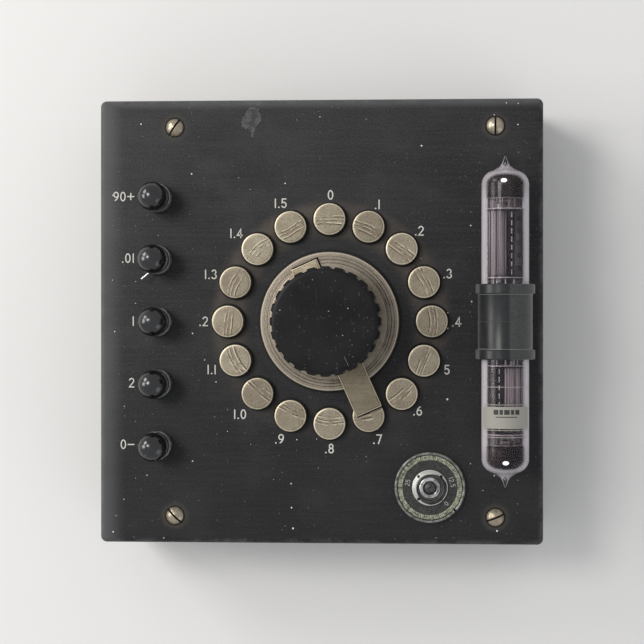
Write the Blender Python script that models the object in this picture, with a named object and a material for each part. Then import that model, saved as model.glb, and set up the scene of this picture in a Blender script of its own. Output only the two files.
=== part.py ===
"""A bench tuning capacitor: sixteen contact studs round a fluted selector knob, a small air trimmer,
five screw terminals and a pair of plug-in valves, on a moulded panel over a shallow case.

Metres, +Z up. The panel faces up, and the origin is under the middle of the case, on the bench.
Every solid is one piece of the real object. Pieces that touch keep a gap of CLEAR to each other.
"""

import math

import bmesh
import bpy
from mathutils import Matrix, Vector

CLEAR = 0.0003

# Levels of the enclosure, from the bench up.
FOOT_HEIGHT = 0.004
BASE_THICKNESS = 0.002
CASE_HEIGHT = 0.0391
PANEL_THICKNESS = 0.006
BASE_BOTTOM = FOOT_HEIGHT + CLEAR
BASE_TOP = BASE_BOTTOM + BASE_THICKNESS
CASE_BOTTOM = BASE_TOP + CLEAR
CASE_TOP = CASE_BOTTOM + CASE_HEIGHT
PANEL_BOTTOM = CASE_TOP + CLEAR
PANEL_TOP = PANEL_BOTTOM + PANEL_THICKNESS

# Enclosure.
PANEL_SIDE = 0.1822
PANEL_CORNER = 0.0025
PANEL_EDGE = 0.0022
CASE_SIDE = 0.1802
CASE_WALL = 0.003
RIB_WIDTH = 0.010
RIB_INNER_Y = 0.075
FOOT_REACH = 0.070
FOOT_RADIUS = 0.007
FOOT_STEM = 0.0023
SCREW_LEFT_X = -0.0600
SCREW_RIGHT_X = 0.0716
SCREW_Y = 0.07985
SCREW_HEAD = 0.00355
SCREW_SHANK = 0.0016
SCREW_LENGTH = 0.018
SLOT_ANGLES = {"rear_left": 55, "rear_right": 90, "front_left": 135, "front_right": 22}

# Selector: studs on a circle round the knob, and an arm that sweeps over them.
SELECTOR_X, SELECTOR_Y = 0.0041, 0.0001
STUDS = 16
STUD_CIRCLE = 0.0417
STUD_RADIUS = 0.0065
STUD_TOP = 0.0045
STUD_SHANK = 0.002
STUD_DEPTH = 0.014
DISC_RADIUS = 0.0284
DISC_STEP_RADIUS = 0.0239
DISC_RIM_TOP = 0.0039
BUSH_FLANGE_RADIUS = 0.008
BUSH_RADIUS = 0.005
BUSH_DEPTH = 0.014
SHAFT_RADIUS = 0.003175
SHAFT_TOP = 0.020
SHAFT_DEPTH = 0.020
ARM_BOTTOM = STUD_TOP + CLEAR
ARM_THICKNESS = 0.0012
ARM_WIDTH = 0.01135
ARM_REACH = 0.0401
ARM_TAIL = 0.0254
ARM_ANGLE = -66
KNOB_BOTTOM = ARM_BOTTOM + ARM_THICKNESS + CLEAR
KNOB_TOP = 0.0300
KNOB_NECK_RADIUS = 0.0188
KNOB_RADIUS = 0.02185
KNOB_FACE_RADIUS = 0.0205
KNOB_FLUTES = 24
KNOB_FLUTE_DEPTH = 0.0009

# Terminals: a fixed post, a captive collar and a round head that screws up and down.
TERMINAL_X = -0.0672
TERMINAL_PITCH = 0.0254
TERMINALS = 5
POST_RADIUS = 0.002
POST_TOP = 0.015
POST_DEPTH = 0.016
POST_FLANGE = 0.006
COLLAR_BOTTOM = 0.0018
COLLAR_TOP = 0.0044
COLLAR_RADIUS = 0.0062
HEAD_BOTTOM = 0.0047
HEAD_SKIRT = 0.0049
HEAD_SKIRT_TOP = 0.0082
HEAD_BALL = 0.0059
HEAD_BALL_CENTRE = 0.0128
WIRE_TERMINAL = 2
WIRE_RADIUS = 0.0004
WIRE_LOOP = 0.0044

# Valves: two glass bulbs plugged into the ends of one sleeve.
VALVE_X = 0.0753
VALVE_HEIGHT = 0.0135
GLASS_RADIUS = 0.0095
GLASS_WALL = 0.0009
GLASS_START = 0.0053
GLASS_SHOULDER = 0.0495
GLASS_CORNER = 0.0055
GLASS_TIP = 0.0610
SLEEVE_HALF = 0.0150
SLEEVE_RADIUS = 0.01095
SLEEVE_FLANGE = 0.0119
SLEEVE_FLANGE_WIDTH = 0.0039
SLEEVE_BORE = 0.0098
SLEEVE_WEB = 0.0050
PIN_CIRCLE = 0.004765
PIN_RADIUS = 0.0005
PINS = 7
PIN_STEP = math.radians(45)
MICA_RADIUS = 0.0080
MICA_LOW, MICA_HIGH = 0.0120, 0.0394
ANODE_WIDTH, ANODE_DEPTH = 0.0130, 0.0080

# Trimmer: a dial on the shaft of a small air capacitor that hangs under the panel.
TRIMMER_X, TRIMMER_Y = 0.0450, -0.0676
BEZEL_RADIUS = 0.01445
BEZEL_INNER = 0.0134
DIAL_RADIUS = 0.0131
DIAL_TOP = 0.0024
HUB_RADIUS = 0.0073
HUB_TOP = 0.0038
TRIMMER_SHAFT = 0.0025
VANE_RADIUS = 0.011
VANE_THICKNESS = 0.0006
VANE_PITCH = 0.0045
VANES = 3
FIRST_VANE = 0.012
STATOR_RADIUS = 0.0142
STATOR_ROD_CIRCLE = 0.0129
STATOR_BOTTOM = 0.030

# Block of fixed capacitors on the base.
BLOCK_SIZE = (0.096, 0.056, 0.024)
BLOCK_CENTRE = (0.0035, 0.005)


def material(name, colour, roughness, metallic=0.0):
    """A Principled material of one colour."""
    made = bpy.data.materials.new(name)
    made.use_nodes = True
    shader = made.node_tree.nodes["Principled BSDF"]
    shader.inputs["Base Color"].default_value = (*colour, 1)
    shader.inputs["Roughness"].default_value = roughness
    shader.inputs["Metallic"].default_value = metallic
    return made


def new_object(name, mesh_maker, mat, location=(0, 0, 0), rotation=(0, 0, 0), parent=None):
    """An object from a function that fills a bmesh, placed under an optional parent."""
    bm = bmesh.new()
    mesh_maker(bm)
    bmesh.ops.recalc_face_normals(bm, faces=bm.faces)
    mesh = bpy.data.meshes.new(name)
    bm.to_mesh(mesh)
    bm.free()
    mesh.shade_smooth()
    mesh.set_sharp_from_angle(angle=math.radians(35))
    obj = bpy.data.objects.new(name, mesh)
    bpy.context.scene.collection.objects.link(obj)
    if mat:
        mesh.materials.append(mat)
    obj.location = location
    obj.rotation_euler = rotation
    obj.parent = parent
    return obj


def empty(name, location):
    """An empty that holds a moving or repeated group."""
    made = bpy.data.objects.new(name, None)
    bpy.context.scene.collection.objects.link(made)
    made.location = location
    return made


def helper(obj):
    """Marks a cutter or a joining body, which is not a piece of its own."""
    obj.hide_render = True
    obj.display_type = "WIRE"
    return obj


def boolean(obj, other, operation="DIFFERENCE"):
    """Cuts or joins another mesh with the exact solver."""
    modifier = obj.modifiers.new(other.name, "BOOLEAN")
    modifier.operation = operation
    modifier.solver = "EXACT"
    modifier.object = helper(other)


def turn(bm, profile, steps):
    """Spins a profile of (radius, height) about Z. One that starts and ends on the axis is left open there."""
    start = len(bm.verts)
    verts = [bm.verts.new((r, 0, z)) for r, z in profile]
    pairs = list(zip(verts, verts[1:]))
    if profile[0][0] > 0:
        pairs.append((verts[-1], verts[0]))
    edges = [bm.edges.new(pair) for pair in pairs]
    bmesh.ops.spin(
        bm, geom=verts + edges, cent=(0, 0, 0), axis=(0, 0, 1), angle=2 * math.pi, steps=steps
    )
    bm.verts.ensure_lookup_table()
    bmesh.ops.remove_doubles(bm, verts=bm.verts[start:], dist=1e-6)


def turned(name, profile, steps, mat, **place):
    """A round piece."""
    return new_object(name, lambda bm: turn(bm, profile, steps), mat, **place)


def extrude(bm, outline, low, high):
    """Raises a closed outline of (x, y) from one height to another."""
    face = bm.faces.new([bm.verts.new((x, y, low)) for x, y in outline])
    raised = bmesh.ops.extrude_face_region(bm, geom=[face])["geom"]
    moved = [v for v in raised if isinstance(v, bmesh.types.BMVert)]
    bmesh.ops.translate(bm, verts=moved, vec=(0, 0, high - low))


def extruded(name, outline, low, high, mat, **place):
    """A flat piece with straight sides."""
    return new_object(name, lambda bm: extrude(bm, outline, low, high), mat, **place)


def skin(bm, rings):
    """Joins rings of the same count one to the next, and closes both ends."""
    rows = [[bm.verts.new(p) for p in ring] for ring in rings]
    for low, high in zip(rows, rows[1:]):
        for i in range(len(low)):
            j = (i + 1) % len(low)
            bm.faces.new((low[i], low[j], high[j], high[i]))
    bm.faces.new(rows[0])
    bm.faces.new(rows[-1])


def rod(bm, x, y, radius, low, high, segments=8):
    """A closed cylinder along Z."""
    bmesh.ops.create_cone(
        bm,
        cap_ends=True,
        segments=segments,
        radius1=radius,
        radius2=radius,
        depth=high - low,
        matrix=Matrix.Translation((x, y, (low + high) / 2)),
    )


def box(bm, size, centre):
    """A closed box."""
    scale = Matrix.Diagonal((*size, 1))
    bmesh.ops.create_cube(bm, size=1, matrix=Matrix.Translation(centre) @ scale)


def arc(centre, radius, start, end, steps):
    """Points along an arc, angles in degrees, as (x, y) or (radius, height)."""
    angles = [math.radians(start + (end - start) * i / steps) for i in range(steps + 1)]
    return [(centre[0] + radius * math.cos(a), centre[1] + radius * math.sin(a)) for a in angles]


def rectangle(width, depth, corner=0.0, steps=3):
    """The outline of a rectangle about the origin, with round corners if asked."""
    x, y = width / 2 - corner, depth / 2 - corner
    corners = [((x, y), 0), ((-x, y), 90), ((-x, -y), 180), ((x, -y), 270)]
    if not corner:
        return [centre for centre, _ in corners]
    return [p for centre, start in corners for p in arc(centre, corner, start, start + 90, steps)]


def stud_places():
    """The studs' centres, clockwise from the one marked 0 at the rear."""
    step = 2 * math.pi / STUDS
    return [
        (SELECTOR_X + STUD_CIRCLE * math.sin(i * step), SELECTOR_Y + STUD_CIRCLE * math.cos(i * step))
        for i in range(STUDS)
    ]


def terminal_places():
    """The terminals' centres, from the rear one to the front one."""
    middle = (TERMINALS - 1) / 2
    return [(TERMINAL_X, (middle - i) * TERMINAL_PITCH) for i in range(TERMINALS)]


def screw_places():
    """The panel screws' centres by name."""
    return {
        f"{depth}_{side}": (x, y)
        for depth, y in (("front", -SCREW_Y), ("rear", SCREW_Y))
        for side, x in (("left", SCREW_LEFT_X), ("right", SCREW_RIGHT_X))
    }


def holes(name, places, extra, low, high, sides=8):
    """One cutter of many drills, whose flats stand off each (x, y, radius) by the extra clearance."""
    to_corner = 1 / math.cos(math.pi / sides)

    def drills(bm):
        for x, y, radius in places:
            rod(bm, x, y, (radius + extra) * to_corner, low, high, sides)

    return new_object(name, drills, None)


def make_panel(mat):
    """The moulded panel, rounded over at its top edge and drilled for everything it carries."""
    rounding = arc((0, 0), PANEL_EDGE, 0, 90, 3)
    steps = [(0, PANEL_BOTTOM)] + [
        (PANEL_EDGE - x, PANEL_TOP - PANEL_EDGE + rise) for x, rise in rounding
    ]
    rings = []
    for inset, height in steps:
        side = PANEL_SIDE - 2 * inset
        rings.append([(x, y, height) for x, y in rectangle(side, side, PANEL_CORNER - inset)])
    panel = new_object("panel", lambda bm: skin(bm, rings), mat)
    drilled = {
        "stud_drills": [(x, y, STUD_SHANK) for x, y in stud_places()],
        "post_drills": [(x, y, POST_RADIUS) for x, y in terminal_places()],
        "screw_drills": [(x, y, SCREW_SHANK) for x, y in screw_places().values()],
        "bush_drill": [(SELECTOR_X, SELECTOR_Y, BUSH_RADIUS)],
        "trimmer_drill": [(TRIMMER_X, TRIMMER_Y, TRIMMER_SHAFT)],
    }
    for name, places in drilled.items():
        boolean(panel, holes(name, places, CLEAR, PANEL_BOTTOM - 0.001, PANEL_TOP + 0.001))


def make_case(mat):
    """Four walls with a rib under each panel screw, open above and below."""
    case = extruded(
        "case", rectangle(CASE_SIDE, CASE_SIDE, PANEL_CORNER), CASE_BOTTOM, CASE_TOP, mat
    )
    inside = CASE_SIDE / 2 - CASE_WALL
    outline = []
    for side, xs in ((1, (SCREW_RIGHT_X, SCREW_LEFT_X)), (-1, (SCREW_LEFT_X, SCREW_RIGHT_X))):
        outline.append((side * inside, side * inside))
        for x in xs:
            near, far = x + side * RIB_WIDTH / 2, x - side * RIB_WIDTH / 2
            outline += [(near, side * inside), (near, side * RIB_INNER_Y)]
            outline += [(far, side * RIB_INNER_Y), (far, side * inside)]
        outline.append((-side * inside, side * inside))
    hollow = extruded("case_hollow", outline, CASE_BOTTOM - 0.001, CASE_TOP + 0.001, None)
    boolean(case, hollow)
    threads = [(x, y, SCREW_SHANK) for x, y in screw_places().values()]
    boolean(case, holes("case_drills", threads, CLEAR, PANEL_TOP - SCREW_LENGTH - 0.002, PANEL_TOP))


def make_base(metal, rubber):
    """The bottom cover and the four push-in feet that it carries."""
    cover = extruded(
        "base_cover", rectangle(CASE_SIDE, CASE_SIDE, PANEL_CORNER), BASE_BOTTOM, BASE_TOP, metal
    )
    corners = {
        f"foot_{depth}_{side}": (x * FOOT_REACH, y * FOOT_REACH)
        for depth, y in (("front", -1), ("rear", 1))
        for side, x in (("left", -1), ("right", 1))
    }
    stems = [(x, y, FOOT_STEM) for x, y in corners.values()]
    boolean(cover, holes("base_drills", stems, CLEAR, BASE_BOTTOM - 0.001, BASE_TOP + 0.001))
    barb = FOOT_STEM + 0.0011
    profile = [(0, 0), (FOOT_RADIUS - 0.0012, 0), (FOOT_RADIUS - 0.0004, 0.0006)]
    profile += [(FOOT_RADIUS, FOOT_HEIGHT), (FOOT_STEM, FOOT_HEIGHT)]
    profile += [(FOOT_STEM, BASE_TOP + CLEAR), (barb, BASE_TOP + CLEAR)]
    profile += [(FOOT_STEM - 0.0006, BASE_TOP + 0.0026), (0, BASE_TOP + 0.0026)]
    for name, (x, y) in corners.items():
        turned(name, profile, 12, rubber, location=(x, y, 0))


def make_screws(mat):
    """Round-headed slotted screws that hold the panel to the case."""
    dome_centre = -0.0020
    dome = math.hypot(SCREW_HEAD, CLEAR - dome_centre)
    edge = math.degrees(math.atan2(CLEAR - dome_centre, SCREW_HEAD))
    head_top = dome_centre + dome
    profile = [(r, z) for r, z in reversed(arc((0, dome_centre), dome, edge, 90, 4))]
    profile[0] = (0, head_top)
    profile += [(SCREW_SHANK, CLEAR), (SCREW_SHANK, -SCREW_LENGTH), (0, -SCREW_LENGTH)]
    for where, (x, y) in screw_places().items():
        turning = (0, 0, math.radians(SLOT_ANGLES[where]))
        place = {"location": (x, y, PANEL_TOP), "rotation": turning}
        screw = turned(f"panel_screw_{where}", profile, 12, mat, **place)
        slot_size = (3 * SCREW_HEAD, 0.0009, 0.002)
        slot_centre = (0, 0, head_top + 0.0001)
        slot = new_object(
            f"slot_{where}", lambda bm: box(bm, slot_size, slot_centre), None, **place
        )
        boolean(screw, slot)


def make_studs(mat):
    """Flat-headed contact studs, each with its threaded shank through the panel."""
    chamfer = 0.0004
    profile = [(0, STUD_TOP), (STUD_RADIUS - chamfer, STUD_TOP), (STUD_RADIUS, STUD_TOP - chamfer)]
    profile += [(STUD_RADIUS, CLEAR), (STUD_SHANK, CLEAR)]
    profile += [(STUD_SHANK, -STUD_DEPTH), (0, -STUD_DEPTH)]
    for i, (x, y) in enumerate(stud_places()):
        turned(f"contact_stud_{i:02d}", profile, 12, mat, location=(x, y, PANEL_TOP))


def make_selector_bearing(nickel, brass):
    """The fixed collector disc, held down by the flange of the bush that the shaft turns in."""
    flange_bottom = DISC_RIM_TOP - 0.0012
    flange_top = STUD_TOP - CLEAR
    seat = flange_bottom - CLEAR
    rim = 0.0003
    profile = [(DISC_RADIUS, CLEAR), (DISC_RADIUS, DISC_RIM_TOP - rim), (DISC_RADIUS - rim, DISC_RIM_TOP)]
    profile += [(DISC_STEP_RADIUS, DISC_RIM_TOP), (DISC_STEP_RADIUS, STUD_TOP)]
    profile += [(BUSH_FLANGE_RADIUS + CLEAR, STUD_TOP), (BUSH_FLANGE_RADIUS + CLEAR, seat)]
    profile += [(BUSH_RADIUS + CLEAR, seat), (BUSH_RADIUS + CLEAR, CLEAR)]
    centre = (SELECTOR_X, SELECTOR_Y, PANEL_TOP)
    turned("collector_disc", profile, 32, nickel, location=centre)
    bore = SHAFT_RADIUS + CLEAR
    profile = [(BUSH_FLANGE_RADIUS, flange_bottom), (BUSH_FLANGE_RADIUS, flange_top)]
    profile += [(bore, flange_top), (bore, -BUSH_DEPTH)]
    profile += [(BUSH_RADIUS, -BUSH_DEPTH), (BUSH_RADIUS, flange_bottom)]
    turned("selector_bush", profile, 16, brass, location=centre)


def knob_ring(radius, height, flute):
    """One closed ring of the knob, two points to a flute: one on the land and one in the groove."""
    angles = [math.pi * i / KNOB_FLUTES for i in range(2 * KNOB_FLUTES)]
    radii = [radius - flute * (i % 2) for i in range(2 * KNOB_FLUTES)]
    return [Vector((r * math.cos(a), r * math.sin(a), height)) for r, a in zip(radii, angles)]


def make_selector(black, nickel, steel):
    """The knob, the arm and the shaft, which turn together about the empty."""
    pivot = empty("selector_axis", (SELECTOR_X, SELECTOR_Y, PANEL_TOP))
    bore = SHAFT_RADIUS + CLEAR
    face_drop = 0.0011
    rings = [knob_ring(bore, SHAFT_TOP + CLEAR, 0), knob_ring(bore, KNOB_BOTTOM, 0)]
    rings += [knob_ring(KNOB_NECK_RADIUS, KNOB_BOTTOM, 0), knob_ring(KNOB_NECK_RADIUS, 0.013, 0)]
    rings += [knob_ring(KNOB_RADIUS, 0.0145, KNOB_FLUTE_DEPTH)]
    rings += [knob_ring(KNOB_RADIUS, KNOB_TOP - face_drop - 0.0026, KNOB_FLUTE_DEPTH)]
    rings += [knob_ring(KNOB_FACE_RADIUS + 0.0003, KNOB_TOP - face_drop, 0)]
    rings += [knob_ring(KNOB_FACE_RADIUS - 0.0006, KNOB_TOP, 0)]
    new_object("selector_knob", lambda bm: skin(bm, rings), black, parent=pivot)

    half = ARM_WIDTH / 2
    outline = [(-ARM_TAIL, -half), (ARM_REACH, -half), (ARM_REACH, half), (-ARM_TAIL, half)]
    turning = (0, 0, math.radians(ARM_ANGLE))
    top = ARM_BOTTOM + ARM_THICKNESS
    arm = extruded(
        "selector_arm", outline, ARM_BOTTOM, top, nickel, rotation=turning, parent=pivot
    )
    eye = new_object(
        "arm_eye", lambda bm: rod(bm, 0, 0, bore, 0, KNOB_BOTTOM, 16), None, parent=pivot
    )
    boolean(arm, eye)

    shoulder = -BUSH_DEPTH - CLEAR
    profile = [(0, SHAFT_TOP), (SHAFT_RADIUS, SHAFT_TOP), (SHAFT_RADIUS, shoulder)]
    profile += [(BUSH_RADIUS - 0.0004, shoulder), (BUSH_RADIUS - 0.0004, -SHAFT_DEPTH), (0, -SHAFT_DEPTH)]
    turned("selector_shaft", profile, 16, steel, parent=pivot)


def make_terminals(black, nickel):
    """Each post stays in the panel. Its collar rises with the head, and the head also turns."""
    post = [(0, POST_TOP), (POST_RADIUS, POST_TOP), (POST_RADIUS, COLLAR_BOTTOM - CLEAR)]
    post += [(POST_FLANGE, COLLAR_BOTTOM - CLEAR), (POST_FLANGE, CLEAR), (POST_RADIUS, CLEAR)]
    post += [(POST_RADIUS, -POST_DEPTH), (0, -POST_DEPTH)]
    bore = POST_RADIUS + CLEAR
    bevel = 0.0005
    collar = [(COLLAR_RADIUS, COLLAR_BOTTOM), (COLLAR_RADIUS, COLLAR_TOP - bevel)]
    collar += [(COLLAR_RADIUS - bevel, COLLAR_TOP), (bore, COLLAR_TOP), (bore, COLLAR_BOTTOM)]
    head = [(0, POST_TOP + 0.0004), (bore, POST_TOP + 0.0004), (bore, HEAD_BOTTOM)]
    head += [(HEAD_SKIRT, HEAD_BOTTOM), (HEAD_SKIRT, HEAD_SKIRT_TOP)]
    head += arc((0, HEAD_BALL_CENTRE), HEAD_BALL, -44, 70, 5)
    head += [(0, HEAD_BALL_CENTRE + HEAD_BALL)]
    for number, (x, y) in enumerate(terminal_places(), 1):
        turned(f"terminal_post_{number}", post, 12, nickel, location=(x, y, PANEL_TOP))
        lift = empty(f"terminal_axis_{number}", (x, y, PANEL_TOP))
        turned(f"terminal_collar_{number}", collar, 12, black, parent=lift)
        on_wire = 2 * WIRE_RADIUS + CLEAR if number == WIRE_TERMINAL else 0
        turned(f"terminal_head_{number}", head, 12, black, parent=lift, location=(0, 0, on_wire))


def make_wire_stub(mat):
    """The cut end of a lead, hooked round the neck of one terminal under its head."""
    x, y = terminal_places()[WIRE_TERMINAL - 1]
    height = PANEL_TOP + COLLAR_TOP + CLEAR + WIRE_RADIUS
    hook = arc((0, 0), WIRE_LOOP, 80, -100, 10)
    tail = [(-0.0024, -0.0052), (-0.0036, -0.0062), (-0.0048, -0.0072), (-0.0058, -0.0080)]
    curve = bpy.data.curves.new("wire_stub", "CURVE")
    curve.dimensions = "3D"
    curve.bevel_depth = WIRE_RADIUS
    curve.bevel_resolution = 2
    curve.use_fill_caps = True
    points = hook + tail
    spline = curve.splines.new("POLY")
    spline.points.add(len(points) - 1)
    for point, (px, py) in zip(spline.points, points):
        point.co = (px, py, 0, 1)
    curve.materials.append(mat)
    stub = bpy.data.objects.new("wire_stub", curve)
    bpy.context.scene.collection.objects.link(stub)
    stub.location = (x, y, height)


def pin_places():
    """The pins' places round a valve's base, with a gap where the eighth would be."""
    angles = [PIN_STEP * (i + 1) for i in range(PINS)]
    return [(PIN_CIRCLE * math.cos(a), PIN_CIRCLE * math.sin(a)) for a in angles]


def make_sleeve(black):
    """The double-ended socket that both valves plug into, and the saddle under it."""
    neck = SLEEVE_HALF - SLEEVE_FLANGE_WIDTH
    half = [(0, SLEEVE_WEB), (SLEEVE_BORE, SLEEVE_WEB), (SLEEVE_BORE, SLEEVE_HALF)]
    half += [(SLEEVE_FLANGE, SLEEVE_HALF), (SLEEVE_FLANGE, neck), (SLEEVE_RADIUS, neck)]
    profile = half + [(r, -z) for r, z in reversed(half)]
    axis = PANEL_TOP + VALVE_HEIGHT
    lying = (math.radians(-90), 0, 0)
    place = {"location": (VALVE_X, 0, axis), "rotation": lying}
    sleeve = turned("valve_sleeve", profile, 20, black, **place)

    def contacts(bm):
        for x, y in pin_places():
            rod(bm, x, y, PIN_RADIUS + CLEAR, -2 * SLEEVE_WEB, 2 * SLEEVE_WEB, 8)

    boolean(sleeve, new_object("pin_sockets", contacts, None, **place))

    block_top = axis - 0.006
    block = (0.016, 0.018, block_top - PANEL_TOP - CLEAR)
    centre = (VALVE_X, 0, (block_top + PANEL_TOP + CLEAR) / 2)
    saddle = new_object("valve_saddle", lambda bm: box(bm, block, centre), black)
    around = SLEEVE_RADIUS + CLEAR
    cradle = new_object(
        "saddle_cradle", lambda bm: rod(bm, 0, 0, around, -0.02, 0.02, 20), None, **place
    )
    boolean(saddle, cradle)


def glass_profile():
    """The bulb's outer side from the tip to the open base, then its inner side back to the axis."""
    centre = (GLASS_RADIUS - GLASS_CORNER, GLASS_SHOULDER)
    inner_corner = GLASS_CORNER - GLASS_WALL
    nib = [(0, GLASS_TIP), (0.0006, GLASS_TIP - 0.0006), (0.0013, GLASS_TIP - 0.0030)]
    nib += [(0.0024, GLASS_TIP - 0.0049)]
    outer = arc(centre, GLASS_CORNER, 85, 0, 4) + [(GLASS_RADIUS, 0)]
    inner = [(GLASS_RADIUS - GLASS_WALL, 0)] + arc(centre, inner_corner, 0, 85, 4)
    return nib + outer + inner + [(0, GLASS_SHOULDER + inner_corner + 0.0003)]


def make_electrodes(name, metal, **place):
    """Base with pins, two support rods, two mica discs, the anode between them and the getter ring."""
    inside = GLASS_RADIUS - GLASS_WALL - CLEAR
    base = (0.0006, 0.0026)
    getter = 0.0440

    def discs(bm):
        rod(bm, 0, 0, inside, *base, segments=12)
        for z in (MICA_LOW, MICA_HIGH):
            rod(bm, 0, 0, MICA_RADIUS, z, z + 0.0006, segments=12)
        rod(bm, 0, 0, MICA_RADIUS, getter, getter + 0.0006, segments=12)

    def uprights(bm):
        for x, y in pin_places():
            rod(bm, x, y, PIN_RADIUS, -0.0045, base[0] + 0.001, 6)
        for side in (-1, 1):
            rod(bm, side * 0.0072, 0, PIN_RADIUS, base[1] - 0.001, getter + 0.0003, 6)
        tall = MICA_HIGH - MICA_LOW
        middle = (MICA_LOW + MICA_HIGH + 0.0006) / 2
        box(bm, (ANODE_WIDTH - 0.0006, ANODE_DEPTH, tall), (0, 0, middle))

    electrodes = new_object(name, discs, metal, **place)
    boolean(electrodes, new_object(f"{name}_uprights", uprights, None, **place), "UNION")


def make_valves(glass, metal):
    """The rear valve points its tip to the rear, and the front one is the same piece turned round."""
    for name, side in (("rear", 1), ("front", -1)):
        place = {
            "location": (VALVE_X, side * GLASS_START, PANEL_TOP + VALVE_HEIGHT),
            "rotation": (math.radians(-90 * side), 0, 0),
        }
        turned(f"valve_{name}_glass", glass_profile(), 16, glass, **place)
        make_electrodes(f"valve_{name}_electrodes", metal, **place)


def make_trimmer_front(ivory, nickel):
    """The split bezel ring on the panel, and the dial and hub that turn inside it."""
    centre = (TRIMMER_X, TRIMMER_Y, PANEL_TOP)
    rim = 0.0004
    profile = [(BEZEL_RADIUS, CLEAR), (BEZEL_RADIUS, DIAL_TOP - rim), (BEZEL_RADIUS - rim, DIAL_TOP)]
    profile += [(BEZEL_INNER, DIAL_TOP), (BEZEL_INNER, CLEAR)]
    bezel = turned("trimmer_bezel", profile, 32, nickel, location=centre)
    gap = new_object(
        "bezel_gap",
        lambda bm: box(bm, (0.006, 0.0009, 0.01), (BEZEL_RADIUS, 0, 0)),
        None,
        location=centre,
        rotation=(0, 0, math.radians(-42)),
    )
    boolean(bezel, gap)
    axis = empty("trimmer_axis", centre)
    bore = TRIMMER_SHAFT + CLEAR
    face = DIAL_TOP - 0.0003
    dial = [(DIAL_RADIUS, 2 * CLEAR), (DIAL_RADIUS, face), (bore, face), (bore, 2 * CLEAR)]
    turned("trimmer_dial", dial, 32, ivory, parent=axis)
    low = face + CLEAR
    inner = 0.0043
    hub = [(bore, low), (HUB_RADIUS, low), (HUB_RADIUS, HUB_TOP - 0.0005), (HUB_RADIUS - 0.0006, HUB_TOP)]
    hub += [(HUB_RADIUS - 0.0012, low + 0.0005), (inner, low + 0.0005), (inner, HUB_TOP), (bore, HUB_TOP)]
    turned("trimmer_hub", hub, 20, nickel, parent=axis)
    return axis


def make_trimmer_capacitor(axis, metal):
    """Half-round vanes on the shaft, and the fixed plates that they turn between."""
    shaft = [(0, HUB_TOP), (TRIMMER_SHAFT, HUB_TOP), (TRIMMER_SHAFT, -STATOR_BOTTOM - 0.002)]
    shaft += [(0, -STATOR_BOTTOM - 0.002)]
    rotor = turned("trimmer_rotor", shaft, 16, metal, parent=axis)
    boss = TRIMMER_SHAFT + 0.0015
    vane = arc((0, 0), VANE_RADIUS, 90, 270, 8) + arc((0, 0), boss, 270, 450, 4)

    def vanes(bm):
        for i in range(VANES):
            middle = -FIRST_VANE - i * VANE_PITCH
            extrude(bm, vane, middle - VANE_THICKNESS / 2, middle + VANE_THICKNESS / 2)

    boolean(rotor, new_object("rotor_vanes", vanes, None, parent=axis), "UNION")
    slot = new_object(
        "rotor_slot",
        lambda bm: box(bm, (0.02, 0.0007, 0.0014), (0, 0, HUB_TOP)),
        None,
        parent=axis,
        rotation=(0, 0, math.radians(40)),
    )
    boolean(rotor, slot)

    bore = TRIMMER_SHAFT + CLEAR
    plate = arc((0, 0), STATOR_RADIUS, 180, 360, 10) + arc((0, 0), boss + 0.0006, 360, 180, 6)
    end_thickness = 0.0015
    ends = (-PANEL_THICKNESS - CLEAR - end_thickness, -STATOR_BOTTOM)

    def plates(bm):
        for low in ends:
            high = low + end_thickness
            turn(bm, [(STATOR_RADIUS, low), (STATOR_RADIUS, high), (bore, high), (bore, low)], 20)
        for i in range(VANES + 1):
            middle = -FIRST_VANE - (i - 0.5) * VANE_PITCH
            extrude(bm, plate, middle - VANE_THICKNESS / 2, middle + VANE_THICKNESS / 2)

    def rods(bm):
        for angle in (90, 200, 340):
            x = STATOR_ROD_CIRCLE * math.cos(math.radians(angle))
            y = STATOR_ROD_CIRCLE * math.sin(math.radians(angle))
            rod(bm, x, y, 0.0009, ends[1] + 0.0005, ends[0] + end_thickness - 0.0005, 6)

    place = {"location": (TRIMMER_X, TRIMMER_Y, PANEL_TOP)}
    stator = new_object("trimmer_stator", plates, metal, **place)
    boolean(stator, new_object("stator_rods", rods, None, **place), "UNION")


def make_capacitor_block(mat):
    """The sealed can of fixed capacitors, one section to each stud."""
    low = BASE_TOP + CLEAR
    width, depth, height = BLOCK_SIZE
    place = {"location": (*BLOCK_CENTRE, 0)}
    outline = rectangle(width, depth, 0.003)
    extruded("capacitor_block", outline, low, low + height, mat, **place)


def main():
    for obj in list(bpy.data.objects):
        bpy.data.objects.remove(obj)
    black = material("ebonite", (0.022, 0.022, 0.024), 0.42)
    nickel = material("aged_nickel", (0.42, 0.37, 0.29), 0.38, 0.9)
    steel = material("steel", (0.45, 0.44, 0.42), 0.35, 1.0)
    paint = material("black_paint", (0.03, 0.03, 0.032), 0.6)
    rubber = material("rubber", (0.02, 0.02, 0.02), 0.85)
    glass = material("glass", (0.72, 0.66, 0.70), 0.06)
    ivory = material("ivory_plastic", (0.45, 0.45, 0.34), 0.4)
    make_panel(black)
    make_case(paint)
    make_base(steel, rubber)
    make_screws(nickel)
    make_studs(nickel)
    make_selector_bearing(nickel, nickel)
    make_selector(black, nickel, steel)
    make_terminals(black, nickel)
    make_wire_stub(steel)
    make_sleeve(black)
    make_valves(glass, steel)
    make_trimmer_capacitor(make_trimmer_front(ivory, nickel), steel)
    make_capacitor_block(steel)


main()
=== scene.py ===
"""The looks of the bench tuning capacitor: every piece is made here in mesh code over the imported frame."""

from math import asin, atan2, cos, pi, radians, sin, sqrt

import bmesh
import bpy
from mathutils import Matrix, Vector


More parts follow.
